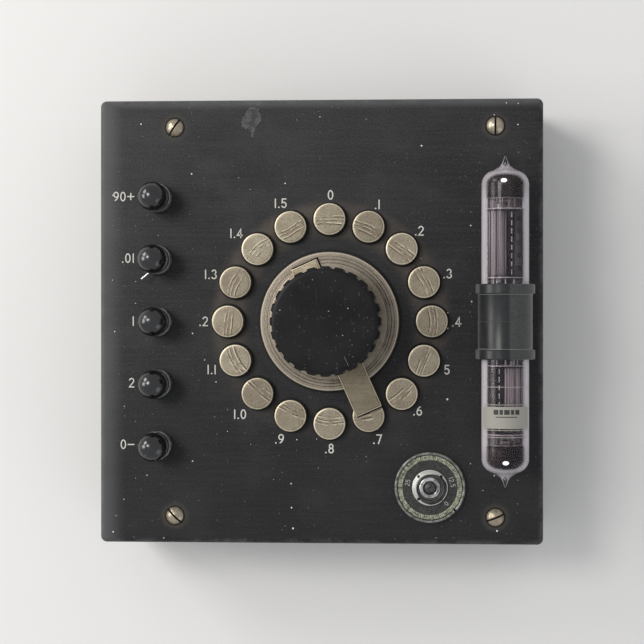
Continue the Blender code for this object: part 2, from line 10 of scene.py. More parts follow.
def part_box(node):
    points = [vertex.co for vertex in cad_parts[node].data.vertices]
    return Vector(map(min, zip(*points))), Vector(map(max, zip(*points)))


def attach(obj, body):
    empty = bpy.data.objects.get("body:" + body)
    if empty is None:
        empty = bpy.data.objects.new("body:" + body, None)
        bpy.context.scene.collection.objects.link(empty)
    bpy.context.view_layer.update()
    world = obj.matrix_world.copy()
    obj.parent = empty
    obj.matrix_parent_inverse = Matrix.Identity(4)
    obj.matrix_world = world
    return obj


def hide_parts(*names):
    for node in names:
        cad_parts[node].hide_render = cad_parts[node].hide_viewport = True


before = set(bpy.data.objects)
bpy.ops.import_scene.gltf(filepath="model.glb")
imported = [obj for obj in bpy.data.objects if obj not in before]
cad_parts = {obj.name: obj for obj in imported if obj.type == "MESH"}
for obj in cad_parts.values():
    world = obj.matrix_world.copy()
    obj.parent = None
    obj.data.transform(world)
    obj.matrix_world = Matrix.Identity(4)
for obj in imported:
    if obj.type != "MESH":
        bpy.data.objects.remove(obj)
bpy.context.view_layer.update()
MM = 0.001
CABINET = "cabinet"
STUDS = 16


def middle(node):
    """The centre of a CAD node, seen from above."""
    low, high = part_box(node)
    return Vector(((low.x + high.x) / 2, (low.y + high.y) / 2, 0))


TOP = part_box("panel")[1].z
HUB = middle("selector_knob")
STUD_CIRCLE = (middle("contact_stud_00") - HUB).length
STUD_RADIUS = (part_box("contact_stud_00")[1].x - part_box("contact_stud_00")[0].x) / 2
DISC_RADIUS = (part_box("collector_disc")[1].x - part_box("collector_disc")[0].x) / 2
ARM_DEGREES = -66
ARM_ANGLE = radians(ARM_DEGREES)
ARM_HALF = 11.35 * MM / 2
ARM_REACH = 40.1 * MM
ARM_TAIL = 25.4 * MM
TRIMMER = middle("trimmer_dial")
VALVE_AXIS = Vector((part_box("valve_sleeve")[0].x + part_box("valve_sleeve")[1].x, 0, 0)) / 2
VALVE_AXIS.z = (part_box("valve_sleeve")[0].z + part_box("valve_sleeve")[1].z) / 2
CORNERS = [f"{depth}_{side}" for depth in ("front", "rear") for side in ("left", "right")]
SCREWS = [middle(f"panel_screw_{corner}") for corner in CORNERS]
CASE_WALL = 3 * MM
# A valve's levels are measured along its axis from the open end of its glass.
BULB_RADIUS = 9.5 * MM
BULB_WALL = 0.9 * MM
BULB_CORNER = 5.5 * MM
BULB_SHOULDER = 49.5 * MM
MICA_LEVELS = (12.0 * MM, 39.4 * MM)
MICA_THICKNESS = 0.45 * MM
CAGE_LEVEL = 44.0 * MM
CAMERA_X, CAMERA_Y, CAMERA_ABOVE = 0.0578, 0.0016, 0.7185
CAMERA_TURN = (radians(-0.14), radians(3.28), 0)
CAMERA_LENS, CAMERA_SENSOR, CAMERA_SHIFT = 98.3, 36, -0.06
SKY_COLOUR = (0.95, 0.97, 1.0, 1)
SKY_STRENGTH = 0.58
LAMPS = [  # name, place in metres, size in metres, power in watts, colour
    ("key", (-0.60, 0.30, 1.25), 0.38, 5.0, (1.0, 0.985, 0.955)),
    ("rear_side", (-0.92, 0.60, 0.62), 0.42, 4.0, (1.0, 0.985, 0.96)),
    ("left_side", (-1.08, 0.05, 0.62), 0.42, 3.2, (1.0, 0.985, 0.96)),
    ("fill", (1.1, -0.9, 0.5), 0.8, 1.7, (0.93, 0.96, 1.0)),
]


# Meshes


def at(x, y, z=0.0):
    """A move to a place."""
    return Matrix.Translation((x, y, z))


def turned(degrees, axis="Z"):
    """A turn about an axis."""
    return Matrix.Rotation(radians(degrees), 4, axis)


def rod(radius, low, high):
    """The profile of a plain cylinder."""
    return [(0, low), (radius, low), (radius, high), (0, high)]


def mm(points):
    """Points given in millimetres."""
    return [tuple(value * MM for value in point) for point in points]


def lathe(bm, profile, steps=48, place=None, ripple=None, ring=False, slot=0, turn=(0, 360)):
    """Turns (radius, height) points about Z.

    ripple(angle, row) moves a row's radius, ring closes the profile, and turn is the first and last angle.
    """
    place = place or Matrix()
    whole = turn == (0, 360)
    count = steps if whole else steps + 1
    rows = []
    for k, (radius, z) in enumerate(profile):
        if radius < 1e-7:
            rows.append([bm.verts.new(place @ Vector((0, 0, z)))])
            continue
        row = []
        for i in range(count):
            a = radians(turn[0] + (turn[1] - turn[0]) * i / steps)
            r = radius + (ripple(a, k) if ripple else 0)
            row.append(bm.verts.new(place @ Vector((r * cos(a), r * sin(a), z))))
        rows.append(row)
    pairs = list(zip(rows, rows[1:]))
    if ring:
        pairs.append((rows[-1], rows[0]))
    made = []
    for low, high in pairs:
        for i in range(count if whole else steps):
            j = (i + 1) % count
            corners = [low[i % len(low)], low[j % len(low)], high[j % len(high)], high[i % len(high)]]
            corners = list(dict.fromkeys(corners))
            if len(corners) > 2:
                made.append(bm.faces.new(corners))
    if not whole and ring:
        made.append(bm.faces.new([row[0] for row in rows]))
        made.append(bm.faces.new([row[-1] for row in rows]))
    for face in made:
        face.material_index = slot
    return made


def soften(points, radius, steps=3, closed=False):
    """Rounds the corners of a line of points."""
    count = len(points)
    out = []
    for i, p in enumerate(points):
        if not closed and i in (0, count - 1):
            out.append(tuple(p))
            continue
        p = Vector(p)
        a, b = Vector(points[i - 1]), Vector(points[(i + 1) % count])
        cut = min(radius, (a - p).length * 0.45, (b - p).length * 0.45)
        start, end = p + (a - p).normalized() * cut, p + (b - p).normalized() * cut
        for k in range(steps + 1):
            t = k / steps
            out.append(tuple(start * (1 - t) ** 2 + p * 2 * t * (1 - t) + end * t * t))
    return out


def plate(bm, outline, levels, place=None, slot=0, caps=(True, True)):
    """Stacks an outline of (x, y), drawn in by each level's inset, at each level's height."""
    place = place or Matrix()
    middle_point = sum((Vector(p) for p in outline), Vector((0, 0))) / len(outline)
    rows = []
    for inset, z in levels:
        row = []
        for i, p in enumerate(outline):
            p = Vector(p)
            before, after = Vector(outline[i - 1]), Vector(outline[(i + 1) % len(outline)])
            along = (after - before).normalized()
            inward = Vector((-along.y, along.x))
            if inward.dot(middle_point - p) < 0:
                inward = -inward
            q = p + inward * inset
            row.append(bm.verts.new(place @ Vector((q.x, q.y, z))))
        rows.append(row)
    made = []
    for low, high in zip(rows, rows[1:]):
        for i in range(len(low)):
            j = (i + 1) % len(low)
            made.append(bm.faces.new((low[i], low[j], high[j], high[i])))
    if caps[0]:
        made.append(bm.faces.new(rows[0]))
    if caps[1]:
        made.append(bm.faces.new(rows[-1]))
    for face in made:
        face.material_index = slot
    return made


def rectangle(width, depth, corner, steps=6):
    """The outline of a rectangle with round corners."""
    x, y = width / 2 - corner, depth / 2 - corner
    points = []
    for cx, cy, start in ((x, y, 0), (-x, y, 90), (-x, -y, 180), (x, -y, 270)):
        for i in range(steps + 1):
            a = radians(start + 90 * i / steps)
            points.append((cx + corner * cos(a), cy + corner * sin(a)))
    return points


def edges(low, high, ease, steps=3):
    """Levels for plate() with both edges eased by a quarter round."""
    out = []
    for i in range(steps + 1):
        a = pi / 2 * i / steps
        out.append((ease * (1 - sin(a)), low + ease * (1 - cos(a))))
    for i in range(steps + 1):
        a = pi / 2 * i / steps
        out.append((ease * (1 - cos(a)), high - ease * (1 - sin(a))))
    return out


def bar(bm, size, ease, place, slot=0):
    """A block with all its edges eased."""
    outline = rectangle(size[0], size[1], ease, 2)
    return plate(bm, outline, edges(-size[2] / 2, size[2] / 2, ease * 0.7, 2), place, slot)


def tube(bm, points, radius, sides=10, slot=0):
    """A round wire along points, with closed ends."""
    points = [Vector(p) for p in points]
    rows = []
    side = None
    for i, p in enumerate(points):
        ahead = points[min(i + 1, len(points) - 1)] - points[max(i - 1, 0)]
        ahead.normalize()
        if side is None:
            side = ahead.orthogonal().normalized()
        side = (side - ahead * side.dot(ahead)).normalized()
        up = ahead.cross(side)
        turns = [2 * pi * k / sides for k in range(sides)]
        rows.append([bm.verts.new(p + (side * cos(a) + up * sin(a)) * radius) for a in turns])
    made = []
    for low, high in zip(rows, rows[1:]):
        for k in range(sides):
            j = (k + 1) % sides
            made.append(bm.faces.new((low[k], low[j], high[j], high[k])))
    made.append(bm.faces.new(rows[0]))
    made.append(bm.faces.new(rows[-1]))
    for face in made:
        face.material_index = slot


def ribbon(bm, points, width, z, slot=0, place=None):
    """A flat stroke with round ends, as a router leaves it."""
    place = place or Matrix()
    points = [Vector(p) for p in points]
    looped = (points[0] - points[-1]).length < 1e-6
    if looped:
        points = points[:-1]
    count = len(points)
    left, right = [], []
    for i, p in enumerate(points):
        before = points[i - 1] if looped or i else p
        after = points[(i + 1) % count] if looped or i < count - 1 else p
        a = (p - before).normalized() if (p - before).length > 1e-9 else (after - p).normalized()
        b = (after - p).normalized() if (after - p).length > 1e-9 else a
        normal = Vector((-(a + b).y, (a + b).x))
        normal = normal.normalized() if normal.length > 1e-6 else Vector((-a.y, a.x))
        reach = width / 2 / max(0.5, normal.dot(Vector((-a.y, a.x))))
        left.append(p + normal * reach)
        right.append(p - normal * reach)
    outlines = []
    if looped:
        for i in range(count):
            j = (i + 1) % count
            outlines.append([left[i], left[j], right[j], right[i]])
    else:
        for i in range(count - 1):
            outlines.append([left[i], left[i + 1], right[i + 1], right[i]])
        for end, first, last in ((points[0], right[0], left[0]), (points[-1], left[-1], right[-1])):
            cap = []
            start = atan2(first.y - end.y, first.x - end.x)
            for k in range(1, 6):
                a = start - pi * k / 6
                cap.append(end + Vector((cos(a), sin(a))) * width / 2)
            outlines.append([first] + cap + [last])
    for outline in outlines:
        verts = [bm.verts.new(place @ Vector((p.x, p.y, z))) for p in outline]
        face = bm.faces.new(verts)
        face.normal_update()
        if face.normal.z < 0 and place == Matrix():
            face.normal_flip()
        face.material_index = slot


def curve(cx, cy, rx, ry, start, end, steps=10):
    """Points along part of an ellipse, from one angle to another in degrees."""
    out = []
    for i in range(steps + 1):
        a = radians(start + (end - start) * i / steps)
        out.append((cx + rx * cos(a), cy + ry * sin(a)))
    return out


NINE = [curve(0.28, 0.71, 0.26, 0.29, 0, 360, 16), curve(0.0, 0.71, 0.54, 0.70, 0, -72, 8)]
GLYPHS = {
    "0": (0.58, [curve(0.28, 0.5, 0.26, 0.5, 90, 450, 20)]),
    "1": (0.16, [[(0.08, 0), (0.08, 1)]]),
    "2": (0.56, [curve(0.28, 0.73, 0.25, 0.27, 165, -35, 9) + [(0.02, 0), (0.55, 0)]]),
    "3": (0.54, [curve(0.25, 0.76, 0.23, 0.24, 155, -90, 9) + curve(0.25, 0.26, 0.27, 0.26, 90, -155, 9)]),
    "4": (0.60, [[(0.42, 0), (0.42, 1), (0.0, 0.27), (0.60, 0.27)]]),
    "5": (0.54, [[(0.48, 1), (0.08, 1), (0.05, 0.55)] + curve(0.26, 0.31, 0.26, 0.31, 125, -150, 10)]),
    "6": (0.56, [[(0.56 - x, 1 - y) for x, y in line] for line in NINE]),
    "7": (0.54, [[(0.0, 1), (0.54, 1), (0.20, 0)]]),
    "8": (0.56, [curve(0.28, 0.76, 0.21, 0.24, 0, 360, 14), curve(0.28, 0.26, 0.26, 0.26, 0, 360, 14)]),
    "9": (0.56, NINE),
    "+": (0.74, [[(0.0, 0.5), (0.74, 0.5)], [(0.37, 0.13), (0.37, 0.87)]]),
    "-": (0.70, [[(0.0, 0.48), (0.70, 0.48)]]),
    ".": (0.14, [[(0.06, 0.03), (0.08, 0.03)]]),
}


def engrave(bm, text, x, y, height, width, z, align=0.5, turn=0.0):
    """Cut numerals filled with paint: a dark outline of painted shade below, and the paint over it."""
    gap = 0.26 * height
    length = sum(GLYPHS[c][0] * height for c in text) + gap * (len(text) - 1)
    cursor = -length * align
    place = at(x, y) @ Matrix.Rotation(turn, 4, "Z")
    for c in text:
        advance, lines = GLYPHS[c]
        for layer, line in enumerate(lines):
            over = 0.004 * MM * layer
            drawn = [(cursor + px * height, (py - 0.5) * height) for px, py in line]
            wide = width * (1.25 if c == "." else 1)
            ribbon(bm, drawn, wide + 0.34 * MM * height / (4.2 * MM), z + 0.012 * MM + over, 1, place)
            ribbon(bm, drawn, wide, z + 0.03 * MM + over, 0, place)
        cursor += advance * height + gap


def piece(name, bm, materials, body=CABINET, replaces=(), angle=32):
    """Finishes a mesh as a piece that rides on a body. Its vertices are already in place."""
    bmesh.ops.recalc_face_normals(bm, faces=bm.faces)
    mesh = bpy.data.meshes.new(name)
    bm.to_mesh(mesh)
    bm.free()
    mesh.shade_smooth()
    mesh.set_sharp_from_angle(angle=radians(angle))
    obj = bpy.data.objects.new(name, mesh)
    bpy.context.scene.collection.objects.link(obj)
    for made in materials if isinstance(materials, (list, tuple)) else [materials]:
        mesh.materials.append(made)
    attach(obj, body)
    if replaces:
        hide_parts(*replaces)
    return obj


# Materials


class Shade:
    """A node tree written in short: each method adds a node and gives back its output."""

    def __init__(self, name, roughness=0.5, metallic=0.0, **constants):
        self.mat = bpy.data.materials.new(name)
        self.mat.use_nodes = True
        self.tree = self.mat.node_tree
        self.bsdf = self.tree.nodes["Principled BSDF"]
        self.bsdf.inputs["Roughness"].default_value = roughness
        self.bsdf.inputs["Metallic"].default_value = metallic
        for key, value in constants.items():
            self.bsdf.inputs[key.replace("_", " ")].default_value = value
        self.place = self.tree.nodes.new("ShaderNodeTexCoord").outputs["Object"]
        self.colour = None

    def node(self, kind, links, **settings):
        made = self.tree.nodes.new(kind)
        for key, value in settings.items():
            setattr(made, key, value)
        for key, value in links.items():
            if isinstance(value, bpy.types.NodeSocket):
                self.tree.links.new(value, made.inputs[key])
            else:
                made.inputs[key].default_value = value
        return made

    def math(self, operation, a, b=0.0, clamp=False):
        return self.node("ShaderNodeMath", {0: a, 1: b}, operation=operation, use_clamp=clamp).outputs[0]

    def chain(self, operation, values):
        out = values[0]
        for value in values[1:]:
            out = self.math(operation, out, value)
        return out

    def add(self, *values):
        return self.chain("ADD", values)

    def mul(self, *values):
        return self.chain("MULTIPLY", values)

    def any_of(self, *masks):
        return self.chain("MAXIMUM", masks)

    def sub(self, a, b):
        return self.math("SUBTRACT", a, b)

    def abs(self, a):
        return self.math("ABSOLUTE", a)

    def line(self, value, gain, offset):
        """value times gain, plus offset."""
        return self.add(self.mul(value, gain), offset)

    def moved(self, offset=(0, 0, 0), scale=(1, 1, 1), rotation=(0, 0, 0)):
        """The place shifted by -offset, then turned and stretched."""
        shifted = self.node("ShaderNodeVectorMath", {0: self.place, 1: offset}, operation="SUBTRACT")
        links = {"Vector": shifted.outputs[0], "Scale": scale, "Rotation": rotation}
        return self.node("ShaderNodeMapping", links).outputs[0]

    def noise(self, scale, detail=2.0, rough=0.5, vector=None, warp=0.0):
        links = {"Vector": vector or self.place, "Scale": scale, "Detail": detail, "Roughness": rough}
        links["Distortion"] = warp
        return self.node("ShaderNodeTexNoise", links).outputs[0]

    def wander(self, reach, scale, detail=2.0, rough=0.5):
        """Noise about zero, to move an edge by up to half of reach."""
        return self.mul(self.sub(self.noise(scale, detail, rough), 0.5), reach)

    def step(self, value, low, high, out_low=0.0, out_high=1.0):
        """A smooth step of value between two bounds."""
        links = {"Value": value, 1: low, 2: high, 3: out_low, 4: out_high}
        return self.node("ShaderNodeMapRange", links, interpolation_type="SMOOTHSTEP").outputs[0]

    def mix(self, factor, a, b):
        """Colours a to b by factor."""
        made = self.node("ShaderNodeMix", {"Factor": factor}, data_type="RGBA")
        for socket, value in ((made.inputs[6], a), (made.inputs[7], b)):
            if isinstance(value, bpy.types.NodeSocket):
                self.tree.links.new(value, socket)
            else:
                socket.default_value = (*value, 1)
        return made.outputs[2]

    def lay(self, mask, tone, share=None):
        """Lays a tone over the running colour where the mask is, as strongly as share says."""
        self.colour = self.mix(mask if share is None else self.mul(mask, share), self.colour, tone)

    def apart(self, vector):
        return self.node("ShaderNodeSeparateXYZ", {0: vector}).outputs

    def length(self, x, y):
        return self.math("SQRT", self.add(self.mul(x, x), self.mul(y, y)))

    def distance(self, centre):
        """The distance from a vertical axis."""
        x, y, _ = self.apart(self.moved((centre[0], centre[1], 0)))
        return self.length(x, y)

    def folded(self, centre, reach, count, first=0.0):
        """The distance from the nearest of count spots that stand on a circle of radius reach."""
        x, y, _ = self.apart(self.moved((centre[0], centre[1], 0)))
        radius = self.length(x, y)
        step = 2 * pi / count
        angle = self.sub(self.math("ARCTAN2", y, x), first)
        off = self.sub(angle, self.mul(self.math("ROUND", self.math("DIVIDE", angle, step)), step))
        along = self.sub(self.mul(radius, self.math("COSINE", off)), reach)
        return self.length(along, self.mul(radius, self.math("SINE", off)))

    def band(self, value, centre, half, soft):
        """1 within half of the centre, fading to 0 over soft."""
        return self.step(self.abs(self.sub(value, centre)), half, half + soft, 1.0, 0.0)

    def spots(self, scale, size, share, flat=False):
        """Scattered specks: some cells of a Voronoi hold one. A flat one ignores the height."""
        links = {"Vector": self.place, "Scale": scale}
        cells = self.node("ShaderNodeTexVoronoi", links, voronoi_dimensions="2D" if flat else "3D")
        chosen = self.math("GREATER_THAN", self.apart(cells.outputs["Color"])[0], 1 - share)
        near = self.math(
            "LESS_THAN", cells.outputs["Distance"],
            self.mul(self.apart(cells.outputs["Color"])[1], size)
        )
        return self.mul(chosen, near)

    def bump(self, height, strength, distance):
        links = {"Height": height, "Strength": strength, "Distance": distance}
        made = self.node("ShaderNodeBump", links)
        self.tree.links.new(made.outputs[0], self.bsdf.inputs["Normal"])

    def done(self, roughness=None):
        for value, key in ((self.colour, "Base Color"), (roughness, "Roughness")):
            if value is not None:
                self.tree.links.new(value, self.bsdf.inputs[key])
        return self.mat


def grey(value):
    return value, value, value


def dimmed(tone, gain):
    """A tone made darker or brighter."""
    return tuple(min(1.0, gain * value) for value in tone)


def ebonite(name, dark, pale, rough, dust, shine, worn=0.35):
    """Moulded hard rubber: near black, bloomed grey in places, with dust and hair scratches."""
    s = Shade(name, Specular_IOR_Level=shine)
    cloud = s.noise(60, 4, 0.6)
    scratch = s.noise(9, 3, 0.6, s.moved(scale=(14, 160, 60), rotation=(0, 0, 0.6)))
    scuff = s.noise(9, 2, 0.5, s.moved(scale=(150, 12, 60), rotation=(0, 0, 0.9)))
    marks = s.any_of(s.step(scratch, 0.66, 0.72), s.step(scuff, 0.68, 0.74))
    marks = s.mul(marks, s.step(s.noise(70, 3), 0.44, 0.58))
    s.colour = s.mix(s.step(cloud, 0.35, 0.7), dark, pale)
    s.lay(s.mul(marks, worn), grey(0.1))
    specks = s.any_of(s.spots(260, 0.1, dust), s.spots(150, 0.045, dust * 2.5, True))
    s.lay(specks, (0.42, 0.42, 0.41))
    haze = s.any_of(s.spots(560, 0.16, dust * 2.5, True), s.spots(330, 0.1, dust * 1.5, True))
    s.lay(haze, grey(0.11), 0.55)
    fine = s.noise(1400, 2, 0.5)
    s.bump(s.add(s.mul(cloud, 0.7), s.mul(fine, 0.3)), 0.1, 0.0004)
    uneven = s.line(cloud, 0.16, rough - 0.08)
    return s.done(s.add(uneven, s.mul(marks, 0.12)))


def panel_face():
    """The panel's ebonite, with dirt where the studs and screws hold it and a chip at its rear edge."""
    s = Shade("panel_ebonite", Specular_IOR_Level=0.25)
    x, y, z = s.apart(s.place)
    cloud = s.noise(14, 5, 0.62)
    patch = s.noise(45, 4, 0.6)
    grit = s.noise(1500, 2, 0.6)
    s.colour = s.mix(s.step(cloud, 0.3, 0.72), (0.0115, 0.0115, 0.0125), (0.0235, 0.0235, 0.025))
    s.lay(s.step(patch, 0.46, 0.72, 0.0, 0.7), (0.036, 0.036, 0.037))
    lines = s.noise(3, 4, 0.7, s.moved(scale=(10, 420, 30)))
    s.lay(s.step(lines, 0.42, 0.72, 0.0, 0.5), (0.036, 0.036, 0.038))
    s.lay(s.step(grit, 0.52, 0.7, 0.0, 0.5), (0.055, 0.055, 0.057))
    s.lay(s.step(grit, 0.32, 0.46, 0.6, 0.0), grey(0.004))
    # Painted shade: the panel darkens toward its front edge, where less light falls.
    s.lay(s.step(y, -0.09, 0.0, 0.45, 0.0), (0.005, 0.005, 0.0055))
    # A worn, brownish band under the sweep of the arm.
    radius = s.distance(HUB)
    ring = s.band(radius, STUD_CIRCLE, 0.0035, 0.006)
    rear = s.step(y, -0.04, 0.02, 0.25, 1.0)
    blotch = s.step(s.noise(240, 4, 0.65), 0.36, 0.62, 0.65, 1.0)
    stain = s.mul(ring, rear, s.mul(blotch, s.step(patch, 0.3, 0.55, 0.75, 1.0)))
    s.lay(stain, (0.098, 0.081, 0.067), 0.95)
    # Dark rings where the studs and the collector disc meet the panel: dirt, and painted shade in the gap.
    stud = s.folded(HUB, STUD_CIRCLE, STUDS)
    s.lay(s.band(stud, STUD_RADIUS, 0.0005, 0.0007), grey(0.006))
    s.lay(s.band(radius, DISC_RADIUS + 0.25 * MM, 0.0005, 0.0008), grey(0.006))
    # Rust-brown halos round the four panel screws.
    mid_x = (SCREWS[0].x + SCREWS[1].x) / 2
    dx = s.sub(s.abs(s.sub(x, mid_x)), SCREWS[1].x - mid_x)
    dy = s.sub(s.abs(y), SCREWS[2].y)
    screw = s.length(dx, dy)
    halo = s.mul(s.step(screw, 0.0035, 0.0068, 1.0, 0.0), s.step(patch, 0.3, 0.62, 0.35, 1.0))
    s.lay(halo, (0.08, 0.068, 0.05), 0.6)
    # A dark ring where each head meets the panel: dirt, and painted shade in the gap.
    s.lay(s.band(screw, 0.0037, 0.0003, 0.0004), grey(0.008))
    # A chipped, greyed patch on the rear edge.
    chip_x, chip_y, _ = s.apart(s.moved((-0.0279, 0.0846, 0), (1, 0.66, 1), (0, 0, -0.30)))
    wander = s.wander(0.01, 190, 3, 0.6)
    away = s.add(s.length(chip_x, chip_y), wander)
    chip = s.step(away, 0.0031, 0.0036, 1.0, 0.0)
    facets = s.step(s.noise(420, 2, 0.5), 0.40, 0.60, 0.30, 0.75)
    s.lay(s.mul(chip, facets), grey(0.1))
    s.lay(s.band(away, 0.0034, 0.00008, 0.0002), grey(0.16), 0.5)
    # Light rubbing along the outer edges, and painted light along the left and rear edges, the sides the
    # light comes from.
    reach = s.math("MAXIMUM", s.abs(x), s.abs(y))
    rubbed = s.mul(s.step(reach, 0.0885, 0.0909), s.step(s.noise(120, 4, 0.7), 0.42, 0.62))
    rubbed = s.mul(rubbed, s.step(z, TOP - 2.6 * MM, TOP - 1.2 * MM))
    sides = s.math("MAXIMUM", s.step(x, -0.0905, -0.0800, 1.0, 0.0), s.step(y, 0.0868, 0.0900, 0.0, 0.8))
    painted_edge_light = s.mul(sides, s.step(cloud, 0.25, 0.6, 0.6, 1.0))
    painted_edge_light = s.mul(painted_edge_light, s.step(z, TOP - 2.2 * MM, TOP - 0.8 * MM, 0.15, 1.0))
    s.lay(painted_edge_light, (0.118, 0.118, 0.12), 0.65)
    s.lay(rubbed, grey(0.13), 0.45)
    # Dust and paint specks, a few of them bright.
    upper = s.math("GREATER_THAN", z, TOP - 0.3 * MM)
    specks = s.any_of(s.spots(95, 0.038, 0.16, True), s.spots(210, 0.062, 0.06, True))
    s.lay(s.mul(specks, upper), (0.72, 0.71, 0.68))
    dust = s.any_of(s.spots(420, 0.11, 0.12, True), s.spots(260, 0.085, 0.08, True))
    s.lay(s.mul(dust, upper), (0.15, 0.15, 0.14), 0.5)
    height = s.add(s.mul(patch, 0.6), s.mul(grit, 0.12))
    height = s.sub(height, s.mul(chip, 0.5))
    s.bump(s.add(height, s.mul(lines, 0.15)), 0.16, 0.0005)
    rough = s.line(patch, 0.22, 0.34)
    rough = s.add(rough, s.mul(s.any_of(stain, halo, chip, rubbed), 0.16))
    return s.done(rough)


def nickel(name, centre, pale=(0.50, 0.445, 0.355), deep=(0.235, 0.19, 0.14), rough=0.40, kind="plain"):
    """Worn nickel plate with turning marks about its centre.

    kind adds the wear of a stud, the disc or the arm, and painted highlights and shade on them.
    """
    s = Shade(name, metallic=0.72, Specular_IOR_Level=0.5)
    radius = s.distance(centre)
    cloud = s.noise(170, 5, 0.62)
    grain = s.noise(1900, 2, 0.6)
    s.colour = s.mix(s.step(cloud, 0.3, 0.72), pale, tuple(0.55 * p + 0.45 * d for p, d in zip(pale, deep)))
    wander = s.mul(s.noise(260, 3, 0.6), 0.0012)
    rings = s.noise(5200, 3, 0.7, s.node("ShaderNodeCombineXYZ", {0: s.add(radius, wander)}).outputs[0])
    s.lay(s.step(rings, 0.5, 0.8, 0.0, 0.24 if kind == "disc" else 0.42), deep)
    s.lay(s.step(grain, 0.52, 0.72, 0.0, 0.55), dimmed(deep, 0.6))
    s.lay(s.step(grain, 0.3, 0.45, 0.35, 0.0), dimmed(pale, 1.4))
    pits = s.spots(520, 0.20, 0.10)
    s.lay(pits, (0.08, 0.06, 0.04), 0.7)
    height = s.add(s.mul(rings, 0.5), s.mul(cloud, 0.3))
    # The pale tone of the painted highlights on grooves, rims and edges.
    highlight_tone = dimmed(pale, 1.95)
    if kind == "stud":
        # The arm's tip has scored each stud, deeper in some places than in others. Each groove is a dark
        # line with a painted highlight beside it.
        reach = s.add(s.distance(HUB), s.wander(0.0105, 33, 2))
        jitter = s.wander(0.00034, 900, 2)
        reach = s.add(reach, jitter)
        for offset, half, ink, scale in (
            (0.0008, 0.00008, 1.0, 230), (-0.0005, 0.00006, 0.9, 310), (-0.0021, 0.00013, 0.95, 180)
        ):
            worn = s.step(s.noise(scale, 3, 0.7), 0.44, 0.54)
            groove = s.mul(s.band(reach, STUD_CIRCLE + offset, half, 0.00012), worn)
            painted_highlight = s.mul(s.band(reach, STUD_CIRCLE + offset + 0.00048, half, 0.0002), worn)
            s.lay(painted_highlight, highlight_tone, 0.9)
            s.lay(s.mul(groove, ink), (0.04, 0.03, 0.02))
            height = s.sub(height, groove)
        rubbed = s.mul(s.band(reach, STUD_CIRCLE - 0.0006, 0.0016, 0.0006), s.step(cloud, 0.35, 0.6))
        s.lay(rubbed, deep, 0.3)
        # Painted highlight: a pale ring on each stud's eased rim, broken up like wear.
        rim = s.band(s.folded(HUB, STUD_CIRCLE, STUDS), STUD_RADIUS - 0.32 * MM, 0.00015, 0.00012)
        s.lay(s.mul(rim, s.step(s.noise(400), 0.32, 0.5, 0.55, 1.0)), highlight_tone)
    if kind == "disc":
        # Painted light and shade: the disc is lighter toward its upper left and darker toward its lower
        # right, and its grooves show dark mostly on the shaded side.
        x, y, _ = s.apart(s.moved(tuple(centre)))
        angle = s.math("ARCTAN2", y, x)
        turned = s.math("COSINE", s.sub(angle, radians(150)))
        s.lay(s.step(turned, -0.2, 0.95, 0.0, 0.3), highlight_tone)
        s.lay(s.step(turned, -1.0, 0.1, 0.08, 0.0), deep)
        for groove_at, half in ((25.3, 0.10), (26.6, 0.06), (24.4, 0.16)):
            groove = s.mul(
                s.band(radius, groove_at * MM, half * MM, 0.00015),
                s.step(turned, -0.6, 0.5, 1.0, 0.08)
            )
            s.lay(s.mul(groove, s.step(cloud, 0.3, 0.6, 0.2, 0.85)), (0.05, 0.04, 0.03))
        # Painted highlight: a pale ring on the rim's chamfer.
        rim = s.band(radius, DISC_RADIUS - 0.35 * MM, 0.00018, 0.00015)
        s.lay(rim, highlight_tone, 0.75)
    if kind == "arm":
        # A painted highlight along its edges, with some rubbing there, and a dark line inside each.
        along, across, _ = s.apart(s.moved(tuple(HUB), rotation=(0, 0, -ARM_ANGLE)))
        side = s.sub(ARM_HALF, s.abs(across))
        ends = s.math("MINIMUM", s.sub(ARM_REACH, along), s.add(along, ARM_TAIL))
        edge = s.math("MINIMUM", side, ends)
        lines = s.noise(1, 3, 0.6, s.moved(tuple(HUB), (30, 1400, 30), (0, 0, -ARM_ANGLE)))
        s.lay(s.step(lines, 0.45, 0.75, 0.0, 0.5), deep)
        inset = s.mul(s.band(edge, 0.62 * MM, 0.00005, 0.00014), s.step(cloud, 0.4, 0.6, 0.1, 0.8))
        s.lay(inset, (0.05, 0.04, 0.028))
        s.lay(s.step(edge, 0.28 * MM, 0.4 * MM, 0.9, 0.0), highlight_tone)
    s.bump(height, 0.22, 0.0002)
    uneven = s.line(cloud, 0.18, rough - 0.09)
    return s.done(uneven)


def plain_metal(name, colour, dull, rough=0.32, grain=(900, 30, 900)):
    """Drawn or rolled metal with a grain and stains."""
    s = Shade(name, metallic=0.85)
    lines = s.noise(1, 4, 0.6, s.moved(scale=grain))
    cloud = s.noise(120, 4, 0.6)
    s.colour = s.mix(s.step(lines, 0.3, 0.75), colour, dimmed(colour, 0.75))
    s.lay(s.step(cloud, 0.50, 0.80, 0.0, 0.8), dull)
    s.bump(s.add(lines, s.mul(cloud, 0.5)), 0.12, 0.0003)
    return s.done(s.line(cloud, 0.2, rough - 0.1))


